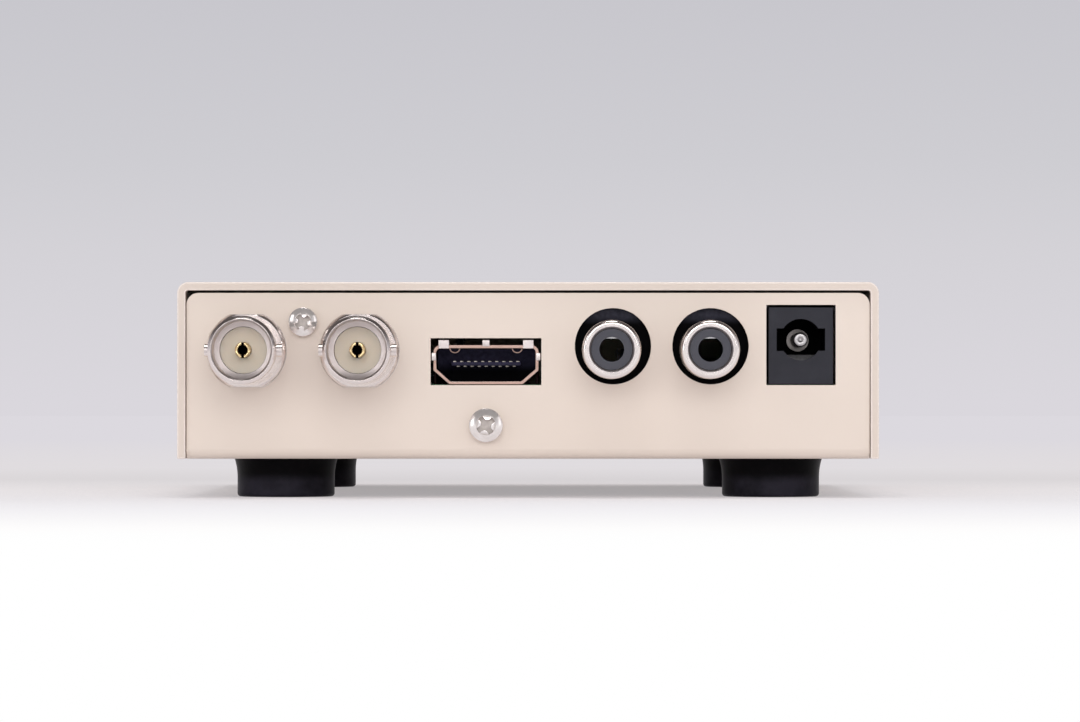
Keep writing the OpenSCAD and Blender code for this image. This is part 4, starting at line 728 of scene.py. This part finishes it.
JACK_FACE = "23232A"
JACK_GREY = "33333B"
JACK_BORE = "020203"
PIN_TIN = "BDBABA"
PIN_DEEP = "8E8986"
PIN_BRIGHT_L = 4
LEAF_DARK = "3C3B3D"
LEAF_PALE = "767577"
GRAIN_SHARE = 8
BORE_HALF_W, BORE_LOW, BORE_TOP, FACE_T = 3.6, 1.5, 0.5, 0.05
EDGE_JACK = 0.12
EDGE_JACK_PIN = 0.05


def moulding(name, dark, pale, size, gloss, bump):
    """A moulded or fired surface: two tones in soft patches and a fine grain."""
    material = blank(name)
    place = add(material, "ShaderNodeTexCoord").outputs["Object"]
    patch = add(material, "ShaderNodeTexNoise", {"Vector": place, "Scale": per_mm(size), "Detail": 3})
    grain = add(material, "ShaderNodeTexNoise", {
        "Vector": place, "Scale": per_mm(size / GRAIN_SHARE), "Detail": 2})
    tone = add(material, "ShaderNodeMix", {
        FACTOR: patch.outputs["Fac"], COLOUR_A: linear(dark), COLOUR_B: linear(pale),
    }, data_type="RGBA")
    skin = add(material, "ShaderNodeBump", {
        "Height": grain.outputs["Fac"], "Strength": 0.4, "Distance": bump * MM})
    surface = add(material, "ShaderNodeBsdfPrincipled", {
        "Base Color": tone.outputs[MIXED], "Roughness": gloss, "Normal": skin.outputs["Normal"]})
    add(material, "ShaderNodeOutputMaterial", {"Surface": surface.outputs["BSDF"]})
    return material


# Charcoal moulding with a fine spark eroded grain and faint flow marks
jack = blank("moulded charcoal polyester")
place = add(jack, "ShaderNodeTexCoord").outputs["Object"]
flow = add(jack, "ShaderNodeTexNoise", {"Vector": place, "Scale": per_mm(3), "Detail": 4})
grain = add(jack, "ShaderNodeTexNoise", {"Vector": place, "Scale": per_mm(0.25), "Detail": 2})
tone = add(jack, "ShaderNodeMix", {
    FACTOR: flow.outputs["Fac"], COLOUR_A: linear(JACK_FACE), COLOUR_B: linear(JACK_GREY),
}, data_type="RGBA")
skin = add(jack, "ShaderNodeBump", {
    "Height": grain.outputs["Fac"], "Strength": 0.35, "Distance": 0.02 * MM})
surface = add(jack, "ShaderNodeBsdfPrincipled", {
    "Base Color": tone.outputs[MIXED], "Roughness": 0.5, "IOR": 1.3, "Normal": skin.outputs["Normal"]})
add(jack, "ShaderNodeOutputMaterial", {"Surface": surface.outputs["BSDF"]})

# The same moulding inside the bore, painted black as shade where it is unlit
jack_low, jack_high = (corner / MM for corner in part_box("dc_jack_housing"))
jack_bore_shade = deep_moulding("moulding painted black inside a bore as shade", jack_low.z, jack_high.z, JACK_BORE, JACK_BORE)

finish(jack, EDGE_JACK, "dc_jack_housing")
jack_x = middle_of("dc_jack_housing").x
# Painted shade on the walls of the bore
paint(jack_bore_shade, lambda middle, normal: middle.y > jack_low.y + FACE_T
      and abs(middle.x - jack_x) < BORE_HALF_W
      and jack_low.z + BORE_LOW < middle.z < jack_high.z - BORE_TOP, "dc_jack_housing")

# Tin plate: worn bright at the pin's tip, darkened deep in the bore as painted shade, and rubbed dull
# on the leaf
worn_tin = plain_metal("worn tin plate on a pin", PIN_TIN, 0.25, 0.4)
deep_shade_tin = plain_metal("tin plate darkened deep in a bore as painted shade", PIN_DEEP, 0.3, 0.45)
leaf = moulding("rubbed matt tin plate on a leaf", LEAF_DARK, LEAF_PALE, 0.5, 0.5, 0.01)

finish(worn_tin, EDGE_JACK_PIN, "dc_jack_pin")
pin_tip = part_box("dc_jack_pin")[0].y / MM
# Painted shade on the pin's base deep in the bore
paint(deep_shade_tin, lambda middle, normal: middle.y > pin_tip + PIN_BRIGHT_L, "dc_jack_pin")
finish(leaf, EDGE_SPRING, "dc_jack_spring")


# ---- Parts on the boards ----
# Surface mounted chips and small parts, a heat sink on a soft pad, can capacitors, a coil and the two
# lamps, whose leads bend towards the panel. Leads, caps and can tops are painted on afterwards.

LENS_GREEN = "5FD06A"
LENS_BLUE = "4F8FE0"
LEAD_TOP = 0.45
CAP_BASE_TOP = 0.92
END_CAP_TOP = 0.72
CAN_TOP_FROM, CAN_RIM = 5, 0.2
EDGE_LENS = 0.05

# Moulded, pressed and fired bodies: two tones, size of the patches in mm, gloss and depth of the grain
epoxy = moulding("matt black moulded epoxy", "17171A", "232327", 2, 0.55, 0.02)
plastic = moulding("moulded black thermoplastic", "121214", "1D1D20", 3, 0.45, 0.02)
pad = moulding("soft blue grey silicone pad", "8FA0B5", "A3B0C0", 2, 0.7, 0.04)
ferrite = moulding("pressed and fired ferrite", "2B2B2E", "3A3A3D", 1.5, 0.6, 0.04)
sleeve = moulding("shrunk black film sleeve on a can", "15151A", "22222A", 4, 0.25, 0.01)
ceramic = moulding("fired tan ceramic", "B08A62", "C29C72", 0.8, 0.4, 0.01)

# Drawn and extruded aluminium: a dark dyed skin on the heat sink, bare and bright on the cans
sink = plain_metal("black anodised extruded aluminium", "3C3C40", 0.35, 0.5)
can = plain_metal("bright drawn aluminium can", "D5D6DA", 0.22, 0.35)

# Each finish with the size of its rounded edges and the pieces that have it
CHIPS = ("receiver_chip", "hdmi_driver_chip", "audio_chip", "voltage_regulator")
for material, edge, names in (
        (epoxy, 0.06, CHIPS), (plastic, 0.08, ("header_block", "lamp_holders")),
        (pad, 0.05, ("thermal_pad",)), (sink, 0.08, ("heat_sink",)),
        (can, 0.1, ("crystal", "capacitors")), (ferrite, 0.1, ("power_inductor",)),
        (sleeve, 0.15, ("storage_capacitor",)), (ceramic, 0.03, ("small_passives",))):
    finish(material, edge, *names)

board_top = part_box("main_board")[1].z / MM
storage_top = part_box("storage_capacitor")[1].z / MM
paint(tin, lambda middle, normal: middle.z < board_top + LEAD_TOP, *CHIPS)
paint(plastic, lambda middle, normal: middle.z < board_top + CAP_BASE_TOP, "capacitors")
paint(tin, lambda middle, normal: middle.z < board_top, "storage_capacitor")
paint(can, lambda middle, normal: normal.z > FLAT
      and board_top + CAN_TOP_FROM < middle.z < storage_top - CAN_RIM, "storage_capacitor")
paint(tin, lambda middle, normal: abs(normal.y) > FLAT or middle.z > board_top + END_CAP_TOP,
      "small_passives")


def lens(name, colour):
    """Tinted epoxy, half clear and a little cloudy, with a nearly smooth skin."""
    material = blank(name)
    place = add(material, "ShaderNodeTexCoord").outputs["Object"]
    swirl = add(material, "ShaderNodeTexNoise", {"Vector": place, "Scale": per_mm(1.5), "Detail": 2})
    gloss = add(material, "ShaderNodeMapRange", {
        "Value": swirl.outputs["Fac"], "From Min": NOISE_LOW, "From Max": NOISE_HIGH,
        "To Min": 0.05, "To Max": 0.15})
    surface = add(material, "ShaderNodeBsdfPrincipled", {
        "Base Color": linear(colour), "Roughness": gloss.outputs["Result"], "IOR": 1.5,
        "Transmission Weight": 0.5, "Subsurface Weight": 0.3, "Subsurface Radius": (1, 1, 1),
        "Subsurface Scale": 0.6 * MM})
    add(material, "ShaderNodeOutputMaterial", {"Surface": surface.outputs["BSDF"]})
    return material


finish(lens("green tinted epoxy", LENS_GREEN), EDGE_LENS, "power_lamp")
finish(lens("blue tinted epoxy", LENS_BLUE), EDGE_LENS, "link_lamp")
holder_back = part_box("lamp_holders")[0].y / MM
paint(tin, lambda middle, normal: middle.y < holder_back, "power_lamp", "link_lamp")


# ---- Floor, background and lamps ----
# The case stands on a pale desk that fades to white in front. Broad soft lamps light it from above
# and from the front, as in a light tent.

REACH = 4
DESK_NEAR, DESK_FAR = -0.24, 1.04
OWN_NEAR, OWN_FROM, OWN_TO = 0.42, 0.12, 0.3
TENT_FILL = 0.62
AIM = Vector((0, 0, 0.02))

desk_mesh = bpy.data.meshes.new("desk")
desk_corners = [(-REACH, -REACH, 0), (REACH, -REACH, 0), (REACH, REACH, 0), (-REACH, REACH, 0)]
desk_mesh.from_pydata(desk_corners, [], [(0, 1, 2, 3)])
desk = bpy.data.objects.new("desk", desk_mesh)
bpy.context.scene.collection.objects.link(desk)


def fill_ramp(ramp, steps):
    """Sets a colour ramp's stops from pairs of place and sRGB colour."""
    while len(ramp.elements) < len(steps):
        ramp.elements.new(1)
    for element, (at, colour) in zip(ramp.elements, steps):
        element.position = at
        element.color = linear(colour)


def seen(owner):
    """1 for the rays that show the background itself, and 0 for those that only carry its light."""
    path = add(owner, "ShaderNodeLightPath")
    direct = add(owner, "ShaderNodeMath", {
        0: path.outputs["Is Camera Ray"], 1: path.outputs["Is Glossy Ray"]}, operation="MAXIMUM")
    through = add(owner, "ShaderNodeMath", {
        0: direct.outputs["Value"], 1: path.outputs["Is Transmission Ray"]}, operation="MAXIMUM")
    return through.outputs["Value"]


# Pale paper: white in front, a little cooler and darker behind, with part of its own light so that
# the shadow under the case stays soft
paper = blank("pale desk paper")
place = add(paper, "ShaderNodeTexCoord").outputs["Object"]
depth = add(paper, "ShaderNodeSeparateXYZ", {"Vector": place}).outputs["Y"]
depth = add(paper, "ShaderNodeMapRange", {
    "Value": depth, "From Min": DESK_NEAR, "From Max": DESK_FAR})
tone = add(paper, "ShaderNodeValToRGB", {"Fac": depth.outputs["Result"]})
fill_ramp(tone.color_ramp, [
    (0, "FFFFFF"), (0.02, "FFFEFE"), (0.09, "F6F4F7"), (0.14, "EEEBEE"), (0.2, "EDE9EB"),
    (0.28, "E1DDDF"), (1, "DCD9DF")])
lit = add(paper, "ShaderNodeBsdfDiffuse", {"Color": tone.outputs["Color"]})
own = add(paper, "ShaderNodeEmission", {"Color": tone.outputs["Color"], "Strength": 1})
far = add(paper, "ShaderNodeVectorMath", {0: place}, operation="LENGTH")
edge = add(paper, "ShaderNodeMapRange", {
    "Value": far.outputs["Value"], "From Min": OWN_FROM, "From Max": OWN_TO, "To Min": OWN_NEAR,
    "To Max": 1}, interpolation_type="SMOOTHSTEP")
share = add(paper, "ShaderNodeMath", {0: seen(paper), 1: edge.outputs["Result"]}, operation="MULTIPLY")
both = add(paper, "ShaderNodeMixShader", {
    0: share.outputs["Value"], 1: lit.outputs["BSDF"], 2: own.outputs["Emission"]})
add(paper, "ShaderNodeOutputMaterial", {"Surface": both.outputs["Shader"]})
desk_mesh.materials.append(paper)

# The tent's cloth: grey, paler towards the desk, where it is seen, and an even pale fill otherwise
world = bpy.data.worlds.new("light tent")
bpy.context.scene.world = world
world.use_nodes = True
world.node_tree.nodes.clear()
place = add(world, "ShaderNodeTexCoord").outputs["Generated"]
height = add(world, "ShaderNodeSeparateXYZ", {"Vector": place}).outputs["Z"]
backdrop = add(world, "ShaderNodeValToRGB", {"Fac": height})
fill_ramp(backdrop.color_ramp, [
    (0, "DAD7DD"), (0.031, "D4D2D7"), (0.05, "CECDD2"), (0.083, "C8C7CD"), (0.25, "A4A2A6"),
    (0.5, "625C5C"), (1, "4A4646")])
view = add(world, "ShaderNodeBackground", {"Color": backdrop.outputs["Color"], "Strength": 1})
fill = add(world, "ShaderNodeBackground", {"Color": (1, 1, 1, 1), "Strength": TENT_FILL})
both = add(world, "ShaderNodeMixShader", {
    0: seen(world), 1: fill.outputs["Background"], 2: view.outputs["Background"]})
add(world, "ShaderNodeOutputWorld", {"Surface": both.outputs["Shader"]})


def softbox(name, at, width, height, watts):
    """A rectangular lamp that looks at the case's middle."""
    light = bpy.data.lights.new(name, "AREA")
    light.shape = "RECTANGLE"
    light.size, light.size_y = width, height
    light.energy = watts
    lamp = bpy.data.objects.new(name, light)
    bpy.context.scene.collection.objects.link(lamp)
    lamp.location = at
    lamp.rotation_euler = (AIM - Vector(at)).to_track_quat("-Z", "Y").to_euler()
    lamp.visible_camera = False


softbox("overhead softbox", (0, -0.35, 1.8), 0.8, 0.28, 7)
softbox("front softbox", (0, -2.3, 0.76), 2.0, 0.9, 16.4)
softbox("left softbox", (-1.75, -1.35, 0.5), 0.5, 1.2, 4)
softbox("right softbox", (1.75, -1.35, 0.5), 0.5, 1.2, 2)

bpy.context.scene.view_settings.view_transform = "Standard"
